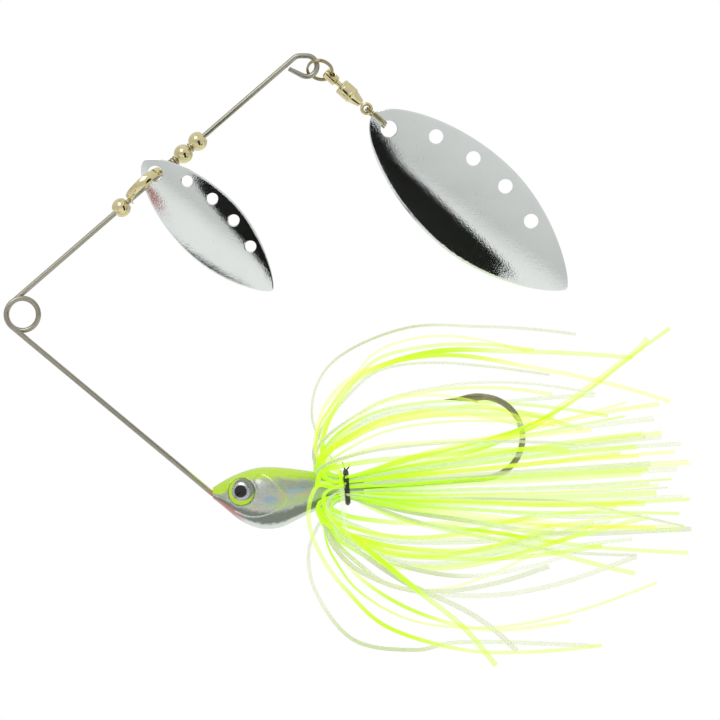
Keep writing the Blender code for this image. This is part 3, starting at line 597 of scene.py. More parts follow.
def lofted(rings, shape=None, closed=False):
    """Skin rings of points into a bmesh, capped at both ends unless it closes on itself."""
    shape = shape or bmesh.new()
    made = [[shape.verts.new(point) for point in ring] for ring in rings]
    pairs = list(zip(made, made[1:] + made[:1])) if closed else list(zip(made, made[1:]))
    for this, after in pairs:
        for number in range(len(this)):
            beyond = (number + 1) % len(this)
            shape.faces.new((this[number], this[beyond], after[beyond], after[number]))
    if not closed:
        shape.faces.new(made[0])
        shape.faces.new(made[-1][::-1])
    return shape


def lathed(profile, origin, axis, steps=48):
    """A turned solid. profile is a closed outline of (radius, distance along the axis)."""
    shape = bmesh.new()
    along = axis.normalized()
    hint = SIDE if abs(along.y) < 0.9 else FORE
    first = along.cross(hint).normalized()
    second = along.cross(first)
    columns = []
    for radius, distance in profile:
        middle = origin + along * distance
        if radius <= 0:
            columns.append([shape.verts.new(middle)] * steps)
            continue
        spots = arc(middle, first, second, radius, 0.0, 2 * math.pi, steps)[:-1]
        columns.append([shape.verts.new(spot) for spot in spots])
    for this, after in zip(columns, columns[1:] + columns[:1]):
        if this[0] is this[1] and after[0] is after[1]:
            continue
        for number in range(steps):
            beyond = (number + 1) % steps
            corners = [this[number], this[beyond], after[beyond], after[number]]
            shape.faces.new(list(dict.fromkeys(corners)))
    return shape


def rounded(profile, radius, steps=3):
    """The same closed outline with its corners off the axis rounded."""
    outline = []
    count = len(profile)
    for number, corner in enumerate(profile):
        here = Vector(corner)
        before = Vector(profile[number - 1]) - here
        after = Vector(profile[(number + 1) % count]) - here
        if corner[0] <= 0 or before.length < 1e-9 or after.length < 1e-9:
            outline.append(corner)
            continue
        reach = min(radius, before.length * 0.45, after.length * 0.45)
        start = here + before.normalized() * reach
        end = here + after.normalized() * reach
        for step in range(steps + 1):
            t = step / steps
            outline.append(tuple(start * (1 - t) ** 2 + here * 2 * t * (1 - t) + end * t * t))
    return outline


def evaluated(obj, name):
    """The object's mesh with its modifiers applied."""
    graph = bpy.context.evaluated_depsgraph_get()
    mesh = bpy.data.meshes.new_from_object(obj.evaluated_get(graph))
    mesh.name = name
    return mesh


def drilled(mesh, cutters):
    """The mesh with each cutter mesh taken from it."""
    scene = bpy.context.scene.collection
    obj = bpy.data.objects.new(mesh.name, mesh)
    scene.objects.link(obj)
    helpers = []
    for cutter in cutters:
        helper = bpy.data.objects.new("helper", cutter)
        scene.objects.link(helper)
        helpers.append(helper)
        boolean = obj.modifiers.new("Cut", "BOOLEAN")
        boolean.operation = "DIFFERENCE"
        boolean.solver = "EXACT"
        boolean.object = helper
    result = evaluated(obj, mesh.name)
    for used in (obj, *helpers):
        bpy.data.objects.remove(used, do_unlink=True)
    return result


def chamfered_pin(middle, axis, radius, wall, deep=4 * MM):
    """A cutter for a round hole through a thin wall, flared to break its edges."""
    lip = wall / 2 + 0.02 * MM
    flare = 0.14 * MM
    profile = [
        (0, -deep), (radius + flare, -deep), (radius + flare, -lip), (radius, -lip + flare),
        (radius, lip - flare), (radius + flare, lip), (radius + flare, deep), (0, deep),
    ]
    return mesh_of(lathed(profile, middle, axis, 40), "pin")


def piece(name, mesh, finish, body, slot, *nodes, sharp=35.0):
    """A finished piece: its material, shading, body and the nodes it stands for. The slot argument
    is not used.
    """
    obj = bpy.data.objects.new(name, mesh)
    bpy.context.scene.collection.objects.link(obj)
    mesh.materials.clear()
    mesh.materials.append(finish)
    mesh.shade_smooth()
    mesh.set_sharp_from_angle(angle=math.radians(sharp))
    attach(obj, body)
    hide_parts(*nodes)
    return obj


# ---- Rods that follow a path ----


def path_tree():
    """Geometry nodes that sweep a round or flat section along every curve they are given."""
    tree = bpy.data.node_groups.new("rod_along_path", "GeometryNodeTree")
    tree.interface.new_socket("Paths", in_out="INPUT", socket_type="NodeSocketGeometry")
    for name, kind in (
        ("Radius", "NodeSocketFloat"), ("Flatness", "NodeSocketFloat"),
        ("Sides", "NodeSocketInt"), ("Seed", "NodeSocketInt"), ("Finish", "NodeSocketMaterial"),
    ):
        tree.interface.new_socket(name, in_out="INPUT", socket_type=kind)
    tree.interface.new_socket("Rods", in_out="OUTPUT", socket_type="NodeSocketGeometry")
    nodes, link = tree.nodes, tree.links.new
    given = nodes.new("NodeGroupInput").outputs

    def store(source, name, domain, value):
        """Keep a value on the geometry under a name."""
        node = nodes.new("GeometryNodeStoreNamedAttribute")
        node.data_type, node.domain = "FLOAT", domain
        node.inputs["Name"].default_value = name
        link(source, node.inputs["Geometry"])
        link(value, node.inputs["Value"])
        return node.outputs["Geometry"]

    spline = nodes.new("GeometryNodeSplineParameter")
    draw = nodes.new("FunctionNodeRandomValue")
    draw.data_type = "FLOAT"
    link(nodes.new("GeometryNodeInputIndex").outputs[0], draw.inputs["ID"])
    link(given["Seed"], draw.inputs["Seed"])
    paths = store(given["Paths"], "along", "POINT", spline.outputs["Factor"])
    paths = store(paths, "own_shade", "CURVE", draw.outputs[1])
    ring = nodes.new("GeometryNodeCurvePrimitiveCircle")
    link(given["Sides"], ring.inputs["Resolution"])
    link(given["Radius"], ring.inputs["Radius"])
    scale = nodes.new("ShaderNodeCombineXYZ")
    scale.inputs[0].default_value = scale.inputs[2].default_value = 1.0
    link(given["Flatness"], scale.inputs[1])
    flat = nodes.new("GeometryNodeTransform")
    link(ring.outputs["Curve"], flat.inputs["Geometry"])
    link(scale.outputs[0], flat.inputs["Scale"])
    sweep = nodes.new("GeometryNodeCurveToMesh")
    sweep.inputs["Fill Caps"].default_value = True
    link(paths, sweep.inputs["Curve"])
    link(flat.outputs["Geometry"], sweep.inputs["Profile Curve"])
    link(nodes.new("GeometryNodeInputRadius").outputs[0], sweep.inputs["Scale"])
    real = nodes.new("GeometryNodeRealizeInstances")
    link(sweep.outputs["Mesh"], real.inputs["Geometry"])
    dress = nodes.new("GeometryNodeSetMaterial")
    link(real.outputs[0], dress.inputs["Geometry"])
    link(given["Finish"], dress.inputs["Material"])
    link(dress.outputs[0], nodes.new("NodeGroupOutput").inputs[0])
    return tree


def rods(name, paths, radius, finish, sides=16, flatness=1.0, seed=0):
    """One mesh of rods along the paths. A path is its points, and may have shares and tilts."""
    curve = bpy.data.curves.new(name, "CURVE")
    curve.dimensions = "3D"
    for path in paths:
        points, shares, tilts = path if isinstance(path, tuple) else (path, None, None)
        spline = curve.splines.new("POLY")
        spline.points.add(len(points) - 1)
        for number, point in enumerate(points):
            spline.points[number].co = (*point, 1.0)
            spline.points[number].radius = shares[number] if shares else 1.0
            spline.points[number].tilt = tilts[number] if tilts else 0.0
    obj = bpy.data.objects.new(name, curve)
    bpy.context.scene.collection.objects.link(obj)
    tree = bpy.data.node_groups.get("rod_along_path") or path_tree()
    sweep = obj.modifiers.new("Rods", "NODES")
    sweep.node_group = tree
    values = {
        "Radius": radius, "Flatness": flatness, "Sides": sides, "Seed": seed, "Finish": finish,
    }
    for item in tree.interface.items_tree:
        if values.get(item.name) is not None:
            sweep[item.identifier] = values[item.name]
    mesh = evaluated(obj, name)
    bpy.data.objects.remove(obj, do_unlink=True)
    return mesh


# ---- The layout, from the frame ----

ARM = joint_axis("lower_bead_slide")
EYE_MIDDLE = joint_at("wire_ring_swing")
SWIVEL = joint_axis("swivel_barrel_spin")
SWIVEL_HOLE = joint_at("swivel_swing")
RING_TANGENT = joint_axis("swivel_swing")
SWIVEL_UP = joint_axis("blade_ring_swing")
LOOP_AT = joint_at("blade_ring_swing")
LARGE_PIVOT = joint_at("large_blade_swing")
SMALL_PIVOT = joint_at("small_blade_swing")
WRAP_AT = box_middle("thread_wrap")
HEAD_LOW, HEAD_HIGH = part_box("head")
EYE_AT = box_middle("eye_right")


def shank_at(distance, height=0.0, side=0.0):
    """A point by distance behind the thread wrap, height over the shank line and side."""
    tilt = sizes("hook").tilt
    along = in_plane(tilt)
    over = in_plane(tilt + math.pi / 2)
    return WRAP_AT + along * distance + over * height + SIDE * side


# ---- Wire frame ----


def wire_path():
    """The wire from the tail of its eye, round the line tie and down into the nose."""
    group = sizes("wire")
    rise, fall = group.upper_angle, group.lower_angle
    sweep = 3 * math.pi - rise - fall
    depth = group.coil_pitch * sweep / (2 * math.pi)
    first = EYE_MIDDLE - FORE * group.eye_flat
    start = rise + math.pi / 2
    eye = arc(first, FORE, UP, group.eye_radius, start, -rise, 10)
    eye += arc(EYE_MIDDLE, FORE, UP, group.eye_radius, math.pi / 2, -group.eye_turn, 44)
    eye.append(eye[-1] + in_plane(-group.eye_turn) * group.eye_tail)
    coil = []
    for step in range(91):
        part = step / 90
        spot = in_plane(start + sweep * part) * group.coil_radius
        coil.append(spot + SIDE * depth * (0.5 - part))
    leave = in_plane(-fall - math.pi / 2) * group.coil_radius
    nose = leave + in_plane(-fall) * group.lower_length
    over = in_plane(math.pi / 2 - fall)
    bend_radius = 3.0 * MM
    bend = arc(nose + over * bend_radius, FORE, UP, bend_radius, -math.pi / 2 - fall, fall, 8)
    lower = [coil[-1].lerp(bend[0], step / 12) for step in range(1, 12)]
    upper = [eye[0].lerp(coil[0], step / 12) for step in range(1, 12)]
    return eye[::-1] + upper + coil + lower + bend + [bend[-1] + FORE * 3 * MM]


class MakeWire(bpy.types.Operator):
    """Bend the wire frame in one piece, with paint run up it from the head"""

    bl_idname = "spinnerbait.make_wire"
    bl_label = "Wire frame"

    def execute(self, context):
        group = sizes("wire")
        points = wire_path()
        shares = [0.82] + [1.0] * (len(points) - 1)
        mesh = rods("wire_frame", [(points, shares, None)], group.diameter / 2, None, 20)
        piece("wire_frame_visual", mesh, painted_wire(), "frame", "stainless_wire", "wire_frame")
        return {"FINISHED"}


# ---- Hook ----


class MakeHook(bpy.types.Operator):
    """Form the hook: shank, round bend, flattened point and cut barb"""

    bl_idname = "spinnerbait.make_hook"
    bl_label = "Hook"

    def execute(self, context):
        group = sizes("hook")
        along = in_plane(group.tilt)
        over = in_plane(group.tilt + math.pi / 2)
        radius = group.bend_radius
        middle = shank_at(group.bend_back) + over * radius
        points = [shank_at(group.bend_back * step / 16 - 2 * MM) for step in range(16)]
        points += arc(middle, along, over, radius, -math.pi / 2, math.pi, 48)
        end = points[-1]
        shares = [1.0] * len(points)
        for step in range(1, 21):
            part = step / 20
            points.append(end - along * group.point_length * part - over * 0.12 * MM * part)
            shares.append(max(0.03, 1.0 - 0.97 * max(0.0, part - 0.12) / 0.88))
        shank = rods("hook", [(points, shares, None)], group.diameter / 2, None, 24)
        flat = bmesh.new()
        flat.from_mesh(shank)
        for vert in flat.verts:
            back = (vert.co - end).dot(along)
            height = (vert.co - end).dot(over)
            near = 1.0 - min(1.0, abs(back + 2.2 * MM) / (3.6 * MM))
            if height > -2 * MM and near > 0:
                vert.co.y *= 1.0 - 0.35 * near
                vert.co += over * (height * 0.5 * near)
        root = end - along * 1.0 * MM - over * group.diameter * 0.42
        tip = root - over * 0.85 * MM + along * (group.barb_length * 0.6)
        heel = root - along * group.barb_length * 0.65 + over * 0.1 * MM
        wide = SIDE * 0.16 * MM
        corners = [heel + wide * 0.4, root + wide, root - wide, heel - wide * 0.4]
        verts = [flat.verts.new(corner + over * 0.12 * MM) for corner in corners]
        low = [flat.verts.new(corner) for corner in (heel, tip)]
        for face in (
            (verts[0], verts[1], verts[2], verts[3]), (verts[0], low[0], low[1], verts[1]),
            (verts[3], verts[2], low[1], low[0]), (verts[1], low[1], verts[2]),
            (verts[0], verts[3], low[0]),
        ):
            flat.faces.new(face)
        mesh = mesh_of(flat, "hook")
        piece("hook_visual", mesh, bronzed_steel(), "frame", "hook_bronze", "hook")
        return {"FINISHED"}


# ---- Head ----

HEAD_STATIONS = (
    # behind the nose, top and bottom over the nose, half width, mm
    (0.0, 0.9, -1.1, 1.0), (1.2, 1.7, -2.0, 1.5), (3.1, 2.8, -3.6, 2.35), (5.1, 3.7, -5.2, 3.0),
    (7.6, 4.5, -6.4, 3.6), (10.1, 4.8, -6.9, 3.85), (13.1, 4.7, -6.5, 3.75),
    (16.6, 4.3, -4.8, 3.25), (19.6, 3.8, -3.3, 2.65), (21.6, 3.1, -1.8, 2.2),
)
# The raised gill line, from behind the eye's top round to the throat: X, Z, mm
GILL_LINE = (
    (43.4, -31.3), (43.9, -30.5), (45.0, -29.9), (46.2, -30.3), (47.8, -31.5), (49.0, -33.0),
    (49.7, -34.5), (49.1, -36.0), (47.3, -37.2), (45.0, -38.0), (42.5, -38.0), (40.2, -37.0),
)
HEAD_SIDES = 128


class MakeHead(bpy.types.Operator):
    """Loft the cast head, with its gill line and eye sockets raised, and its eyes"""

    bl_idname = "spinnerbait.make_head"
    bl_label = "Head and eyes"

    def execute(self, context):
        group = sizes("head")
        nose = Vector((HEAD_LOW.x, 0, HEAD_HIGH.z - 4.83 * MM))
        rings, levels = [], []
        fine = 9
        for step in range((len(HEAD_STATIONS) - 1) * fine + 1):
            position = step / fine
            behind, top, bottom, half = (
                smooth_between([station[field] * MM for station in HEAD_STATIONS], position)
                for field in range(4)
            )
            rings.append((nose + FORE * behind + UP * (top + bottom) / 2, (top - bottom) / 2, half))
        collar = group.collar_radius
        for distance in (-1.98, -0.9, 0.0, 1.5, 2.9, 3.2):
            rings.append((shank_at(distance * MM), collar, collar))
        rings.append((shank_at(3.3 * MM), collar * 0.85, collar * 0.85))
        points = []
        for middle, half_height, half_width in rings:
            ring = []
            for side in range(HEAD_SIDES):
                angle = 2 * math.pi * side / HEAD_SIDES
                ring.append(
                    middle + SIDE * math.cos(angle) * half_width
                    + UP * math.sin(angle) * half_height
                )
                levels.append(math.sin(angle))
            points.append(ring)
        shape = lofted(points)
        bmesh.ops.recalc_face_normals(shape, faces=shape.faces)
        shape.normal_update()
        level = shape.verts.layers.float.new("level")
        gill = shape.verts.layers.float.new("gill")
        shape.verts.ensure_lookup_table()
        line = [Vector((x, 0, z)) * MM for x, z in GILL_LINE]
        line = smooth_path(line, 12)
        eye = Vector((EYE_AT.x, 0, EYE_AT.z))
        moves = []
        for vert, height in zip(shape.verts, levels):
            vert[level] = height
            flank = Vector((vert.co.x, 0, vert.co.z))
            reach = min((flank - spot).length for spot in line)
            ridge = math.exp(-((reach / (0.2 * MM)) ** 2))
            inside = (flank - Vector((45.4 * MM, 0, -34.4 * MM))).length
            sunk = math.exp(-((reach / (0.7 * MM)) ** 2)) * (1 if inside > 3.6 * MM else 0.3)
            vert[gill] = ridge
            rim = math.exp(-((((flank - eye).length - 2.72 * MM) / (0.28 * MM)) ** 2))
            lift = ridge * group.gill_rise - sunk * 0.07 * MM + rim * 0.16 * MM
            if (flank - eye).length < 2.45 * MM:
                lift = -0.45 * MM
            moves.append((vert, vert.normal * lift * min(1.0, abs(vert.normal.y) * 1.6)))
        for vert, move in moves:
            vert.co += move
        mesh = mesh_of(shape, "head")
        head = piece("head_visual", mesh, head_paint(), "frame", "head_paint", "head", sharp=60)
        soft = head.modifiers.new("Round", "SUBSURF")
        soft.levels = soft.render_levels = 1
        finish = eye_finish()
        for name, side in (("eye_left", 1), ("eye_right", -1)):
            low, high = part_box(name)
            middle = (low + high) / 2
            normal = Vector((-0.30, side, 0.06)).normalized()
            height, radius = group.eye_height, group.eye_radius
            dome = [
                (radius * math.cos(math.pi / 2 * (1 - step / 14)), -height * math.sin(
                    math.pi / 2 * (1 - step / 14)) - 0.1 * MM)
                for step in range(15)
            ]
            dome[0] = (0.0, dome[0][1])
            profile = dome + [(radius, 0.4 * MM), (0.0, 0.4 * MM)]
            face = Vector((EYE_AT.x, middle.y, EYE_AT.z))
            mesh = mesh_of(lathed(profile, face, -normal, 64), name)
            piece(name + "_visual", mesh, finish, "frame", "eye", name)
        return {"FINISHED"}


# ---- Pieces on the upper arm ----


def bead_mesh(name, middle):
    """A round bead with a lipped bore."""
    group = sizes("fittings")
    radius, half = group.bead_radius, group.bead_length / 2
    bore = sizes("wire").diameter / 2 + 0.12 * MM
    edge = math.asin(half / radius)
    outer = []
    for step in range(25):
        angle = -edge + 2 * edge * step / 24
        outer.append((radius * math.cos(angle), radius * math.sin(angle)))
    lip = 0.16 * MM
    profile = outer + [
        (bore + lip * 1.6, half), (bore + lip * 0.5, half - lip * 0.4), (bore, half - lip),
        (bore, lip - half), (bore + lip * 0.5, lip * 0.4 - half), (bore + lip * 1.6, -half),
    ]
    return mesh_of(lathed(profile, middle, ARM, 64), name)


def collar_mesh(name, length, ridges):
    """A short grooved collar pinched on the wire."""
    radius = sizes("fittings").collar_radius
    bore = sizes("wire").diameter / 2 + 0.01 * MM
    pitch = length / ridges
    outer = []
    for ridge in range(ridges):
        start = -length / 2 + ridge * pitch
        outer += [
            (radius * 0.78, start), (radius * 0.95, start + pitch * 0.16),
            (radius, start + pitch * 0.36), (radius, start + pitch * 0.64),
            (radius * 0.95, start + pitch * 0.84),
        ]
    outer += [(radius * 0.78, length / 2), (bore, length / 2), (bore, -length / 2)]
    return mesh_of(lathed(outer, box_middle(name), ARM, 48), name)


def clevis_mesh():
    """The folded strap: two legs that the wire runs through, and a bow for the blade."""
    span, leg, bow = 8.0 * MM, 1.0 * MM, 3.4 * MM
    width, wall, flare = 1.7 * MM, 0.3 * MM, 0.19
    arm_side = ARM.cross(SIDE).normalized()
    out = (TO_VIEW + arm_side * flare).normalized()
    across = ARM.cross(out).normalized()
    middle = joint_at("clevis_spin")
    bore = sizes("wire").diameter / 2 + 0.12 * MM
    foot = -(bore + 0.5 * MM)
    steps = 8
    path = [(span / 2, foot * (1 - step / steps)) for step in range(steps)]
    for step in range(49):
        angle = math.pi * step / 48
        path.append((span / 2 * math.cos(angle), leg + bow * math.sin(angle)))
    path += [(-span / 2, foot * step / steps) for step in range(1, steps + 1)]
    rings = []
    for number, (along, reach) in enumerate(path):
        before, after = path[max(number - 1, 0)], path[min(number + 1, len(path) - 1)]
        run = Vector((after[0] - before[0], after[1] - before[1])).normalized()
        normal = ARM * run.y - out * run.x
        spot = middle + ARM * along + out * reach
        near_end = min(number, len(path) - 1 - number)
        half = width / 2 * (0.5 + 0.5 * min(1.0, math.sin(min(1.0, near_end / 4) * math.pi / 2)))
        round_off = 0.09 * MM
        section = []
        for a, b in ((-1, -1), (1, -1), (1, 1), (-1, 1)):
            for da, db in ((0, 1), (1, 0)) if a * b > 0 else ((1, 0), (0, 1)):
                section.append(
                    spot + across * a * (half - round_off * da)
                    + normal * b * (wall / 2 - round_off * db)
                )
        rings.append(section)
    mesh = mesh_of(lofted(rings), "clevis")
    pin = mesh_of(
        lathed([(0, -6 * MM), (bore, -6 * MM), (bore, 6 * MM), (0, 6 * MM)], middle, ARM, 32),
        "pin",
    )
    return drilled(mesh, [pin])


class MakeArmPieces(bpy.types.Operator):
    """Turn the beads and the crimped collars, and fold the clevis"""

    bl_idname = "spinnerbait.make_arm_pieces"
    bl_label = "Beads, collars and clevis"

    def execute(self, context):
        finish = brass()
        dull = brass("dull_brass", (0.5, 0.43, 0.25), 0.12)
        for node in ("lower_bead", "upper_bead_a", "upper_bead_b"):
            mesh = bead_mesh(node, box_middle(node))
            piece(node + "_visual", mesh, finish, node, "brass", node)
        for node, length, ridges in (
            ("lower_crimp", 1.6 * MM, 3), ("upper_crimp", 0.45 * MM, 1)
        ):
            mesh = collar_mesh(node, length, ridges)
            piece(node + "_visual", mesh, dull, "frame", "brass", node)
        piece("clevis_visual", clevis_mesh(), finish, "clevis", "brass", "clevis", sharp=50)
        return {"FINISHED"}


# ---- Blades ----

SMALL_LAY = {
    "angle": -45.0, "tilt": 14.0, "cup": 1.5, "wall": 0.5, "hang": 3.15, "hang_radius": 1.43,
    "dots": (8.5, 8.8, 2.1), "dot_radius": 1.08,
}
LARGE_LAY = {
    "angle": -42.0, "tilt": 4.0, "cup": 2.3, "wall": 0.55, "hang": 4.09, "hang_radius": 1.55,
    "dots": (11.7, 13.6, 3.15), "dot_radius": 1.36,
}
DOTS = 4


def blade_half_width(part, widest):
    """Half width of a willow-leaf blade at a share of its length: blunt root, finer tip."""
    bow = 0.55 if part < 0.5 else 0.72
    return widest * max(0.0, math.sin(math.pi * part)) ** bow


def blade_lays():
    """Each blade's node, hang point, length, half width and lay."""
    group = sizes("blades")
    slack = in_plane(math.radians(LARGE_LAY["angle"])) * 0.9 * MM
    return (
        ("small_blade", SMALL_PIVOT, group.small_length, group.small_width, SMALL_LAY),
        ("large_blade", LARGE_PIVOT + slack, group.large_length, group.large_width, LARGE_LAY),
    )


def blade_surface(at, length, widest, lay):
    """The way a blade faces, and a function that gives its points."""
    angle, tilt = math.radians(lay["angle"]), math.radians(lay["tilt"])
    cup, hang = lay["cup"] * MM, lay["hang"] * MM
    along = in_plane(angle)
    rise = in_plane(angle + math.pi / 2)
    across = (rise * math.cos(tilt) + TO_VIEW * math.sin(tilt)).normalized()
    out = across.cross(along).normalized()
    if out.dot(TO_VIEW) < 0:
        out = -out

    def surface(part, side, lift=0.0):
        """A point of the blade, lifted off its middle sheet."""
        half = blade_half_width(part, widest)
        depth = cup * (half / widest * side) ** 2
        bow = cup * 0.6 * ((2 * part - 1) ** 2 - (2 * hang / length - 1) ** 2)
        spot = along * (part * length - hang) + across * half * side
        slope = 2 * cup * half * side / widest ** 2
        normal = (out + across * slope).normalized()
        return at + spot - out * (depth + bow) + normal * lift

    return out, surface


def blade_mesh(name, at, length, widest, lay):
    """A cupped blade with a rolled edge, a hanging hole and a row of round holes."""
    out, surface = blade_surface(at, length, widest, lay)
    wall = lay["wall"] * MM
    rows, columns, edge = 150, 44, 5
    rings = []
    for row in range(rows + 1):
        part = (1 - math.cos(math.pi * row / rows)) / 2
        part = min(max(part, 0.00008), 0.99992)
        half = blade_half_width(part, widest)
        inset = min(0.45, wall / 2 / max(half, 1e-6))
        ring = []
        for step in range(columns + 1):
            ring.append((-1 + inset + (2 - 2 * inset) * step / columns, 1.0))
        for step in range(1, edge):
            bend = math.pi * step / edge
            ring.append((1 - inset + inset * math.sin(bend), math.cos(bend)))
        for step in range(columns + 1):
            ring.append((1 - inset - (2 - 2 * inset) * step / columns, -1.0))
        for step in range(1, edge):
            bend = math.pi * step / edge
            ring.append((-1 + inset - inset * math.sin(bend), -math.cos(bend)))
        thin = wall / 2 * min(1.0, (half / (wall * 0.9)) ** 0.5)
        rings.append([surface(part, side, lift * thin) for side, lift in ring])
    mesh = mesh_of(lofted(rings), name)
    pins = [chamfered_pin(at, out, lay["hang_radius"] * MM, wall)]
    first, last, rim = (value * MM for value in lay["dots"])
    for dot in range(DOTS):
        reach = first + (length - first - last) * dot / (DOTS - 1)
        part = reach / length
        side = 1 - rim / blade_half_width(part, widest)
        pins.append(chamfered_pin(surface(part, side), out, lay["dot_radius"] * MM, wall))
    return drilled(mesh, pins)


class MakeBlades(bpy.types.Operator):
    """Stamp the two willow-leaf blades"""

    bl_idname = "spinnerbait.make_blades"
    bl_label = "Blades"

    def execute(self, context):
        finish = nickel_plate()
        for node, *lay in blade_lays():
            mesh = blade_mesh(node, *lay)
            piece(node + "_visual", mesh, finish, node, "nickel_blade", node, sharp=32)
        return {"FINISHED"}


# ---- Split rings and swivel ----


def ring_mesh(name, middle, first, second, start):
    """A split ring: nearly two turns of wire side by side, with cut ends."""
    group = sizes("fittings")
    turns = 1.95
    pitch = group.ring_wire + 0.05 * MM
    normal = first.cross(second)
    points = []
    for step in range(151):
        part = turns * step / 150
        angle = start + 2 * math.pi * part
        spot = (first * math.cos(angle) + second * math.sin(angle)) * group.ring_radius
        points.append(middle + spot + normal * pitch * (part - turns / 2))
    return rods(name, [points], group.ring_wire / 2, None, 14)


class MakeRings(bpy.types.Operator):
    """Wind the two split rings"""

    bl_idname = "spinnerbait.make_rings"
    bl_label = "Split rings"

    def execute(self, context):
        finish = brass("ring_brass", (0.42, 0.36, 0.19), 0.05)
        dip, tilt = math.radians(-16.5), math.radians(43.0)
        out = in_plane(dip)
        over = in_plane(dip + math.pi / 2) * math.cos(tilt) + TO_VIEW * math.sin(tilt)
        middle = EYE_MIDDLE + out * 2.62 * MM
        mesh = ring_mesh("wire_ring", middle, out, over, math.radians(238))
        piece("wire_ring_visual", mesh, finish, "wire_ring", "brass", "wire_ring")
        along = (LARGE_PIVOT - LOOP_AT).normalized()
        mesh = ring_mesh("blade_ring", (LOOP_AT + LARGE_PIVOT) / 2, along, SIDE, 0.0)
        piece("blade_ring_visual", mesh, finish, "blade_ring", "brass", "blade_ring")
        return {"FINISHED"}


class MakeSwivel(bpy.types.Operator):
    """Turn the swivel's drilled stub, hollow barrel, lower shaft with its loop, and balls"""

    bl_idname = "spinnerbait.make_swivel"
    bl_label = "Swivel"

    def execute(self, context):
        group = sizes("fittings")
        finish = brass("swivel_brass")
        barrel_start = (joint_at("swivel_barrel_spin") - SWIVEL_HOLE).dot(SWIVEL)
        cone_end = (joint_at("lower_eye_spin") - SWIVEL_HOLE).dot(SWIVEL)
        radius = group.barrel_radius
        wall, end = 0.28 * MM, barrel_start + 3.0 * MM
        seat = end - 0.05 * MM
        head_start = barrel_start + wall + 0.04 * MM
        flange = radius - wall - 0.18 * MM
        stub, neck = 1.02 * MM, 0.5 * MM
        profile = [
            (0.0, -1.3 * MM), (stub * 0.75, -1.3 * MM), (stub, -1.0 * MM), (stub, 1.35 * MM),
            (neck, 1.6 * MM), (neck, head_start), (flange, head_start),
            (flange, head_start + 0.4 * MM), (0.0, head_start + 0.4 * MM),
        ]
        mesh = mesh_of(lathed(rounded(profile, 0.12 * MM), SWIVEL_HOLE, SWIVEL, 56), "upper")
        mesh = drilled(mesh, [chamfered_pin(SWIVEL_HOLE, RING_TANGENT, 0.68 * MM, 1.5 * MM)])
        node = "swivel_upper_eye"
        piece(node + "_visual", mesh, finish, node, "brass", node)

        bore, lower_bore, inside = neck + 0.12 * MM, 0.45 * MM, radius - wall
        cone = 0.75 * MM
        grooved = []
        for part in (0.22, 0.78):
            spot = barrel_start + 3.0 * MM * part
            grooved += [
                (radius, spot - 0.16 * MM), (radius - 0.1 * MM, spot - 0.06 * MM),
                (radius - 0.1 * MM, spot + 0.06 * MM), (radius, spot + 0.16 * MM),
            ]
        profile = [
            (bore, barrel_start), (radius - 0.25 * MM, barrel_start),
            (radius, barrel_start + 0.25 * MM), *grooved, (radius, end - 0.12 * MM),
            (radius - 0.12 * MM, end), (radius * 0.82, end + 0.3 * MM),
            (radius * 0.8, end + 0.42 * MM), (cone, cone_end), (lower_bore, cone_end),
            (lower_bore, seat), (inside, seat), (inside, barrel_start + wall),
            (bore, barrel_start + wall),
        ]
        mesh = mesh_of(lathed(rounded(profile, 0.05 * MM), SWIVEL_HOLE, SWIVEL, 64), "barrel")
        piece("swivel_barrel_visual", mesh, finish, "swivel_barrel", "brass", "swivel_barrel")

        ball_radius = 0.25 * MM
        ball_at = (joint_at("bearing_roll") - SWIVEL_HOLE).dot(SWIVEL)
        flange_end = ball_at - ball_radius - 0.04 * MM
        shaft, wire = 0.33 * MM, 0.32 * MM
        loop = (LOOP_AT - SWIVEL_HOLE).dot(SWIVEL) - cone_end - 0.25 * MM - wire
        profile = [
            (0.0, flange_end - 0.4 * MM), (flange, flange_end - 0.4 * MM), (flange, flange_end),
            (shaft, flange_end), (shaft, cone_end + 0.4 * MM), (0.0, cone_end + 0.55 * MM),
        ]
        shape = lathed(rounded(profile, 0.06 * MM), SWIVEL_HOLE, SWIVEL, 40)
        rings = []
        for step in range(64):
            angle = 2 * math.pi * step / 64
            out = SWIVEL * math.cos(angle) + SWIVEL_UP * math.sin(angle)
            rings.append(arc(LOOP_AT + out * loop, out, SIDE, wire, 0, 2 * math.pi, 20)[:-1])
        lofted(rings, shape, closed=True)
        mesh = mesh_of(shape, "lower")
        node = "swivel_lower_eye"
        piece(node + "_visual", mesh, finish, node, "brass", node)

        balls = [name for name in FRAME["nodes"] if name.startswith("bearing_ball_")]
        shape = bmesh.new()
        for name in balls:
            spot = Matrix.Translation(box_middle(name))
            bmesh.ops.create_icosphere(shape, subdivisions=3, radius=ball_radius, matrix=spot)
        mesh = mesh_of(shape, "balls")
        piece("bearing_balls", mesh, bearing_steel(), "bearing", "bearing_steel", *balls)
        return {"FINISHED"}


# ---- Skirt ----

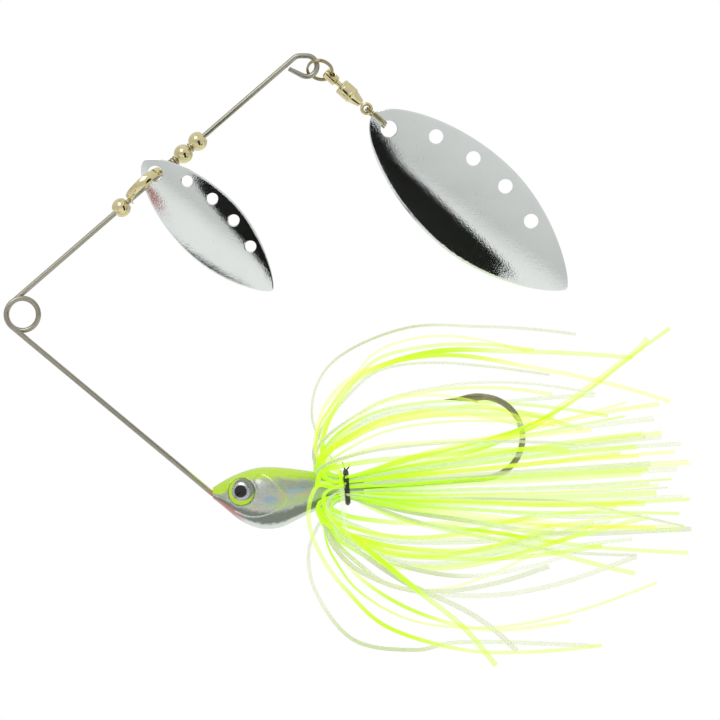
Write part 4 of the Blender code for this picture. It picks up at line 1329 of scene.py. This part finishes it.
# Strands listed one by one: dye, how far to the near side, then X and Z along them, mm
HAND_STRANDS = (
    ("pearl", -3.0, ((60, -29.5), (54.7, -19.4), (58.5, -9.3), (72.6, -2.2), (87.8, -2.2),
                    (104.5, -4))),
    ("chartreuse", 4.5, ((60, -30), (56.7, -24.5), (60, -15.4), (67.6, -9.8), (79.2, -6.5),
                         (92.8, -6.8), (115, -8.5))),
    ("chartreuse", 6.5, ((60, -30), (55.4, -25.5), (57.6, -17), (64.9, -10.9), (80.5, -7.4),
                         (99, -10.6), (122, -16.4))),
    ("chartreuse", -5.0, ((62.5, -30.5), (82.7, -26.5), (95.4, -21.9), (102.9, -16.9),
                         (115.6, -7.3), (118.4, -4.2))),
    ("chartreuse", 7.0, ((62.5, -30.2), (80.7, -25.5), (93.4, -21.4), (103.9, -15.9),
                         (114.6, -7.9), (121.6, -3))),
    ("pearl", -5.5, ((57, -37.6), (53.9, -44.7), (55.4, -52.8), (62.5, -61.4), (74.1, -63.4),
                    (83.7, -62.1), (108, -63.2))),
    ("chartreuse", 7.5, ((60, -31.5), (55.4, -32.5), (53.9, -38.6), (56.4, -45.7),
                         (61.5, -52.3), (69.1, -58.8), (82.7, -62.6), (95.4, -62.9),
                         (109, -61.9))),
    ("chartreuse", 9.5, ((60.5, -32), (57, -34), (59, -39.1), (67.6, -46.2), (75.1, -52.3),
                         (82.7, -58.3), (89, -65.4))),
    ("pearl", 8.0, ((60.4, -32.6), (57.5, -35.6), (60, -41.6), (65, -45.7), (72.6, -50.7),
                    (82.7, -55.3), (88.3, -58.8), (93, -62.9))),
    ("pearl", 9.0, ((60.4, -33.4), (62, -42.1), (70, -46.2), (82.7, -48.7), (95.4, -47.2),
                    (105.5, -44.2))),
    ("pearl", 7.0, ((62.1, -34), (72.6, -34.6), (92.8, -34.8), (104.5, -35.3),
                    (124.7, -39.4))),
    ("chartreuse", -8.0, ((62.1, -34.6), (72.6, -39.1), (92.8, -42.1), (126.0, -45.6))),
    ("chartreuse", -6.0, ((60.2, -33.4), (57.2, -36.1), (58.6, -43.4), (64.5, -50.8),
                         (74.5, -56.6), (88, -59.5), (103.5, -58.2))),
)


TIE_STEP = 10  # where the tie comes in a strand's course
SPANS = 5  # points laid for each of the course's steps


def strand_course(rng, azimuth, tie):
    """One strand, from its front end back over the tie and out to its rear end."""
    lift = abs(math.sin(azimuth)) ** 1.3
    above = math.sin(azimuth) > 0
    peak = 30.0 if above else 27.5
    loop = (13.0 + (peak - 13.0) * lift) * rng.uniform(0.95 - 0.5 * lift, 1.05)
    tail = (5.0 + (12.5 if above else 13.0) * lift * rng.uniform(0.2, 1.0)) * rng.uniform(0.5, 1.0)
    front_end = rng.uniform(34.0, 57.0)
    rear_end = rng.uniform(52.0, 65.0)
    lean = rng.uniform(-4.0, 2.0)
    reach = rng.uniform(0.75, 1.15)
    course = [
        (front_end, loop * 0.88 + lean), (front_end * 0.72, loop * 0.97 + lean * 0.4),
        (front_end * 0.45, loop), (front_end * 0.2, loop * 0.94), (1.5, loop * 0.74),
        (-3.6 * reach, loop * 0.5), (-5.2 * reach, loop * 0.3),
        (-4.2 * reach, max(3.5, loop * 0.16)), (-2.2, tie + 0.5), (-1.0, tie + 0.08),
        (0.0, tie), (1.0, tie + 0.05), (5.0, tie + tail * 0.12),
        (12.0, tie + tail * 0.32), (24.0, tie + tail * 0.56), (40.0, tie + tail * 0.85),
        (rear_end, tie + tail * rng.uniform(0.95, 1.12)),
    ]
    return [(along * MM, out * MM) for along, out in course]


def parted(azimuth):
    """How far a strand's front half swings up or down, off the head's flank."""
    up = math.sin(azimuth)
    swung = math.atan2(up + math.copysign(0.7, up), math.cos(azimuth))
    return (swung - azimuth + math.pi) % (2 * math.pi) - math.pi


def waved(rng, points, most, hold):
    """The points pushed about by a slow wave. hold gives 0 to 1, how free each is."""
    turns = [(rng.uniform(0.01, 0.022), rng.uniform(0, 6.3)) for _ in range(4)]
    moved = []
    length = 0.0
    for number, point in enumerate(points):
        if number:
            length += (point - points[number - 1]).length / MM
        push = [math.sin(rate * 6.3 * length + phase) for rate, phase in turns]
        free = hold[number] * most
        moved.append(point + Vector((push[0] * 0.5, push[1], push[2])) * free)
    return moved


class MakeSkirt(bpy.types.Operator):
    """Lay the silicone strands of both dyes round the collar, folded back over the tie"""

    bl_idname = "spinnerbait.make_skirt"
    bl_label = "Skirt"

    def execute(self, context):
        group = sizes("skirt")
        rng = random.Random(group.seed)
        laid = {"chartreuse": [], "pearl": []}
        bundles = sorted(name for name in FRAME["nodes"] if name.startswith("skirt_strands_"))
        for number in range(len(bundles)):
            dye = "chartreuse" if number % 2 else "pearl"
            for _ in range(number % 2 + 1):
                fan = math.radians(312) * (number + rng.uniform(-0.5, 0.5)) / (len(bundles) - 1)
                azimuth = math.pi / 2 + math.radians(24) + fan
                tie = rng.uniform(2.12, 2.3)
                swirl = rng.uniform(-0.3, 0.3)
                points, hold = [], []
                course = [Vector(point) for point in strand_course(rng, azimuth, tie)]
                course = smooth_path(course, SPANS)
                parting = parted(azimuth)
                for step, (along, out) in enumerate(course):
                    front = step < TIE_STEP * SPANS
                    far = min(1.0, max(0.0, (out / MM - 5.0) / 10.0))
                    angle = azimuth + swirl * far
                    if front:
                        free = min(1.0, max(0.0, (out / MM - 2.6) / 3.0))
                        angle += parting * free
                    points.append(
                        shank_at(along, out * math.sin(angle), out * math.cos(angle))
                    )
                    hold.append(far)
                points = waved(rng, points, 0.5 * MM, hold)
                laid[dye].append(points)
        for dye, depth, course in HAND_STRANDS:
            near = math.copysign(1.0, depth)
            start = shank_at(-1.0 * MM, 0.6 * MM, -2.4 * MM * near)
            rear = course[0][0] > 61.0
            rows = [Vector((x, 0, z)) * MM for x, z in course]
            rows = smooth_path([rows[0]] + rows, 9)
            points = []
            for step, spot in enumerate(rows):
                part = step / (len(rows) - 1)
                swing = math.sin(min(1.0, part * 2.2) * math.pi / 2)
                out = 2.3 + (abs(depth) - 2.3) * swing
                points.append(spot + TO_VIEW * near * out * MM)
            if not rear:
                points = [start, start.lerp(points[0], 0.5)] + points
            free = [min(1.0, step / 30) for step in range(len(points))]
            laid[dye].append(waved(rng, points, 0.35 * MM, free)[::-1])
        # The fourth number of each dye is its painted glow.
        finishes = {
            "chartreuse": silicone(
                "chartreuse_silicone", group.chartreuse, (0.52, 0.96, 0.004), 0.32, 0.19),
            "pearl": silicone("pearl_silicone", group.pearl, (0.62, 0.67, 0.42), 0.16, 0.22),
        }
        for start, (dye, courses) in enumerate(laid.items()):
            paths = []
            for points in courses:
                shares, tilts = [], []
                twist = rng.uniform(-1.5, 1.5)
                first = rng.uniform(0.0, 6.3)
                gauge = rng.uniform(0.66, 1.0)
                for step, point in enumerate(points):
                    off = point - WRAP_AT
                    out = math.hypot(off.y, off.z)
                    close = abs(off.x) < 6 * MM
                    shares.append(0.55 if close and out < 3 * MM else min(
                        1.0, 0.55 + 0.45 * max(0.0, (out / MM - 2.6) / 3.0 if close else 1.0)))
                    tilts.append(first + twist * step / len(points))
                spans = [shares[max(0, n - 2):n + 3] for n in range(len(shares))]
                shares = [gauge * sum(span) / len(span) for span in spans]
                paths.append((points, shares, tilts))
            mesh = rods(
                "skirt_" + dye, paths, group.strand_width / 2, finishes[dye], 10,
                group.strand_flatness, group.seed + start,
            )
            nodes = [name for place, name in enumerate(bundles) if place % 2 == 1 - start]
            piece(
                "skirt_" + dye, mesh, finishes[dye], "frame", "silicone_" + dye, *nodes, sharp=80
            )
        return {"FINISHED"}


# The wrap's layers: radius, turns and width, mm
THREAD_LAYERS = ((2.92, 6, 0.9), (3.14, 5, 0.76), (3.3, 3, 0.4))


class MakeThread(bpy.types.Operator):
    """Wind the thread that ties the skirt, with its two cut ends"""

    bl_idname = "spinnerbait.make_thread"
    bl_label = "Thread wrap"

    def execute(self, context):
        paths = []
        for layer, (out, turns, width) in enumerate(THREAD_LAYERS):
            points = []
            for step in range(turns * 40 + 1):
                part = step / (turns * 40)
                angle = 2 * math.pi * turns * part + layer
                back = (part - 0.5) * width
                ripple = out + 0.05 * math.sin(angle * 3.3 + layer)
                points.append(shank_at(
                    back * MM, ripple * MM * math.sin(angle), ripple * MM * math.cos(angle)))
            paths.append(points)
        for lean, tall in ((-0.5, 4.7), (0.85, 4.3)):
            root = shank_at(0.0, 3.1 * MM, -0.8 * MM)
            tip = shank_at(lean * MM, tall * MM, -1.3 * MM)
            middle = (root + tip) / 2 + FORE * lean * 0.15 * MM
            paths.append([root, middle, tip])
        mesh = rods("thread_wrap", paths, 0.14 * MM, None, 12)
        piece("thread_wrap_visual", mesh, black_thread(), "frame", "thread", "thread_wrap")
        return {"FINISHED"}


# ---- Stage ----


def plain_finish(name, tone, rough):
    """A pale painted surface with a faint tooth."""
    finish = Finish(name)
    tooth = finish.noise(0.02, 2.0)
    return finish.wear(
        Base_Color=finish.mix(tooth * 0.2, tone, [part * 0.98 for part in tone]),
        Roughness=rough + tooth * 0.1,
    )


VIEW_MIDDLE = Vector((63.7, 0, -8.6)) * MM
CAMERA_AT = VIEW_MIDDLE + TO_VIEW * 1.0
FLOOR_DROP = 0.26

# What the blades mirror: tone, blade, how near the card is in mm, then the patch on the blade.
# A patch has a start and an end as shares of the length, and runs in from one edge to a side,
# where -1 and 1 are the edges and 0 is the middle line.
CARDS = {
    "card_leaf": ("black", "large_blade", 40, (0.08, 0.8), (-0.8, -0.35)),
    "card_side": ("black", "large_blade", 14, (0.1, 0.8), (-1.05, -0.6)),
    "card_brow": ("black", "small_blade", 40, (0.24, 0.99), (1.15, 0.45)),
    "card_edge": ("black", "small_blade", 40, (0.45, 0.95), (-1.25, -0.8)),
    "card_root": ("blush", "small_blade", 40, (0.08, 0.25), (-1.05, -0.5)),
}
CARD_STEPS = 24
CARD_FULLNESS = 0.3


def mirrored(surface, part, side, near):
    """Where the camera's view of a blade point lands on a card, once the blade mirrors it."""
    step = 0.001
    lengthwise = surface(part + step, side) - surface(part - step, side)
    crosswise = surface(part, side + step) - surface(part, side - step)
    normal = lengthwise.cross(crosswise).normalized()
    spot = surface(part, side)
    sight = (spot - CAMERA_AT).normalized()
    onward = sight - normal * 2 * sight.dot(normal)
    return spot + onward * ((-near * MM - spot.y) / onward.y)


def reflection_card(name, surface, near, ends, sides, finish):
    """A card that a patch of a blade mirrors. The camera and the diffuse light don't see it."""
    points = []
    for step in range(CARD_STEPS + 1):
        share = step / CARD_STEPS
        part = ends[0] + (ends[1] - ends[0]) * share
        reach = max(0.0, math.sin(math.pi * share)) ** CARD_FULLNESS
        for side in (sides[0], sides[0] + (sides[1] - sides[0]) * reach):
            points.append(mirrored(surface, part, side, near))
    faces = [(n, n + 1, n + 3, n + 2) for n in range(0, 2 * CARD_STEPS, 2)]
    mesh = bpy.data.meshes.new(name)
    mesh.from_pydata(points, [], faces)
    mesh.materials.append(finish)
    card = bpy.data.objects.new(name, mesh)
    bpy.context.scene.collection.objects.link(card)
    card.visible_camera = False
    card.visible_diffuse = False
    card.visible_shadow = False
    card.visible_transmission = False


def soft_light(name, middle, facing, wide, power, glossy=True):
    """A square soft light that faces a point."""
    lamp = bpy.data.lights.new(name, "AREA")
    lamp.shape = "SQUARE"
    lamp.size = wide
    lamp.energy = power
    obj = bpy.data.objects.new(name, lamp)
    obj.location = middle
    obj.rotation_euler = (facing - middle).to_track_quat("-Z", "Y").to_euler()
    bpy.context.scene.collection.objects.link(obj)
    obj.visible_glossy = glossy


class MakeStage(bpy.types.Operator):
    """Set the pale floor, the soft lights, the dark cards and the camera"""

    bl_idname = "spinnerbait.make_stage"
    bl_label = "Stage"

    def execute(self, context):
        scene = context.scene
        middle = VIEW_MIDDLE
        shape = bmesh.new()
        bmesh.ops.create_circle(
            shape, cap_ends=True, radius=2.0, segments=96,
            matrix=Matrix.Translation((VIEW_MIDDLE.x, 0, -FLOOR_DROP)),
        )
        mesh = bpy.data.meshes.new("floor")
        shape.to_mesh(mesh)
        shape.free()
        mesh.materials.append(plain_finish("pale_floor", (0.9, 0.9, 0.9), 0.6))
        floor = bpy.data.objects.new("floor", mesh)
        scene.collection.objects.link(floor)

        black = Finish("black_card", Roughness=1.0)
        black.wear(Base_Color=black.mix(black.noise(0.1), (0.004,) * 3, (0.008,) * 3))
        blush = Finish("blush_card", Roughness=1.0)
        blush.wear(Base_Color=blush.mix(blush.noise(0.1), (0.5, 0.2, 0.18), (0.4, 0.16, 0.15)))
        surfaces = {node: blade_surface(*lay)[1] for node, *lay in blade_lays()}
        tones = {"black": black.material, "blush": blush.material}
        for name, (tone, blade, near, ends, sides) in CARDS.items():
            reflection_card(name, surfaces[blade], near, ends, sides, tones[tone])

        soft_light("key", Vector((-0.35, -0.7, 0.75)), middle, 0.5, 2.4)
        soft_light("fill", Vector((0.75, -0.8, 0.25)), middle, 0.8, 1.8, False)
        soft_light("back", Vector((0.15, 0.7, 0.55)), middle, 0.7, 1.8, False)

        world = bpy.data.worlds.new("pale_studio")
        scene.world = world
        world.use_nodes = True
        nodes, link = world.node_tree.nodes, world.node_tree.links.new
        sky = nodes["Background"]
        sky.inputs["Strength"].default_value = 1.0
        out = nodes["World Output"]
        seen = nodes.new("ShaderNodeBackground")
        seen.inputs["Color"].default_value = (1.0, 1.0, 1.0, 1.0)
        seen.inputs["Strength"].default_value = 1.0
        path = nodes.new("ShaderNodeLightPath")
        blend = nodes.new("ShaderNodeMixShader")
        coords = nodes.new("ShaderNodeTexCoord")
        parts = nodes.new("ShaderNodeSeparateXYZ")
        ramp = nodes.new("ShaderNodeValToRGB")
        for element, (spot, tone) in zip(
            ramp.color_ramp.elements, ((0.0, (0.5, 0.5, 0.5, 1)), (1.0, (0.82, 0.83, 0.84, 1)))
        ):
            element.position, element.color = spot, tone
        lift = nodes.new("ShaderNodeMapRange")
        lift.inputs["From Min"].default_value = -1.0
        link(coords.outputs["Generated"], parts.inputs[0])
        link(parts.outputs[2], lift.inputs["Value"])
        link(lift.outputs["Result"], ramp.inputs["Fac"])
        link(ramp.outputs["Color"], sky.inputs["Color"])
        link(path.outputs["Is Camera Ray"], blend.inputs["Fac"])
        link(sky.outputs[0], blend.inputs[1])
        link(seen.outputs[0], blend.inputs[2])
        link(blend.outputs[0], out.inputs["Surface"])
        scene.view_settings.view_transform = "Standard"

        camera = bpy.data.cameras.new("camera")
        camera.lens = 265.0
        camera.sensor_width = 36.0
        camera.clip_start = 0.01
        seat = bpy.data.objects.new("camera", camera)
        seat.location = CAMERA_AT
        seat.rotation_euler = (math.pi / 2, 0, 0)
        scene.collection.objects.link(seat)
        scene.camera = seat
        return {"FINISHED"}


STEPS = (
    MakeWire, MakeHook, MakeHead, MakeArmPieces, MakeBlades, MakeRings, MakeSwivel, MakeSkirt,
    MakeThread, MakeStage,
)


class SpinnerbaitPanel(bpy.types.Panel):
    """The sizes, and a button for each step"""

    bl_idname = "SPINNERBAIT_PT_steps"
    bl_label = "Spinnerbait"
    bl_space_type = "VIEW_3D"
    bl_region_type = "UI"
    bl_category = "Spinnerbait"

    def draw(self, context):
        layout = self.layout
        for step in STEPS:
            layout.operator(step.bl_idname)
        for prop, group in GROUPS.items():
            box = layout.box()
            box.label(text=group.__doc__)
            for field in group.__annotations__:
                box.prop(getattr(context.scene, prop), field)


CLASSES = (*GROUPS.values(), *STEPS, SpinnerbaitPanel)


def register():
    """Add the classes and the scene's properties."""
    for kind in CLASSES:
        bpy.utils.register_class(kind)
    for prop, group in GROUPS.items():
        setattr(bpy.types.Scene, prop, PointerProperty(type=group))


def unregister():
    """Take them away again."""
    for prop in GROUPS:
        delattr(bpy.types.Scene, prop)
    for kind in reversed(CLASSES):
        bpy.utils.unregister_class(kind)


def main():
    """Build every piece and the stage."""
    register()
    for step in STEPS:
        group, name = step.bl_idname.split(".")
        getattr(getattr(bpy.ops, group), name)()


if __name__ == "__main__":
    main()
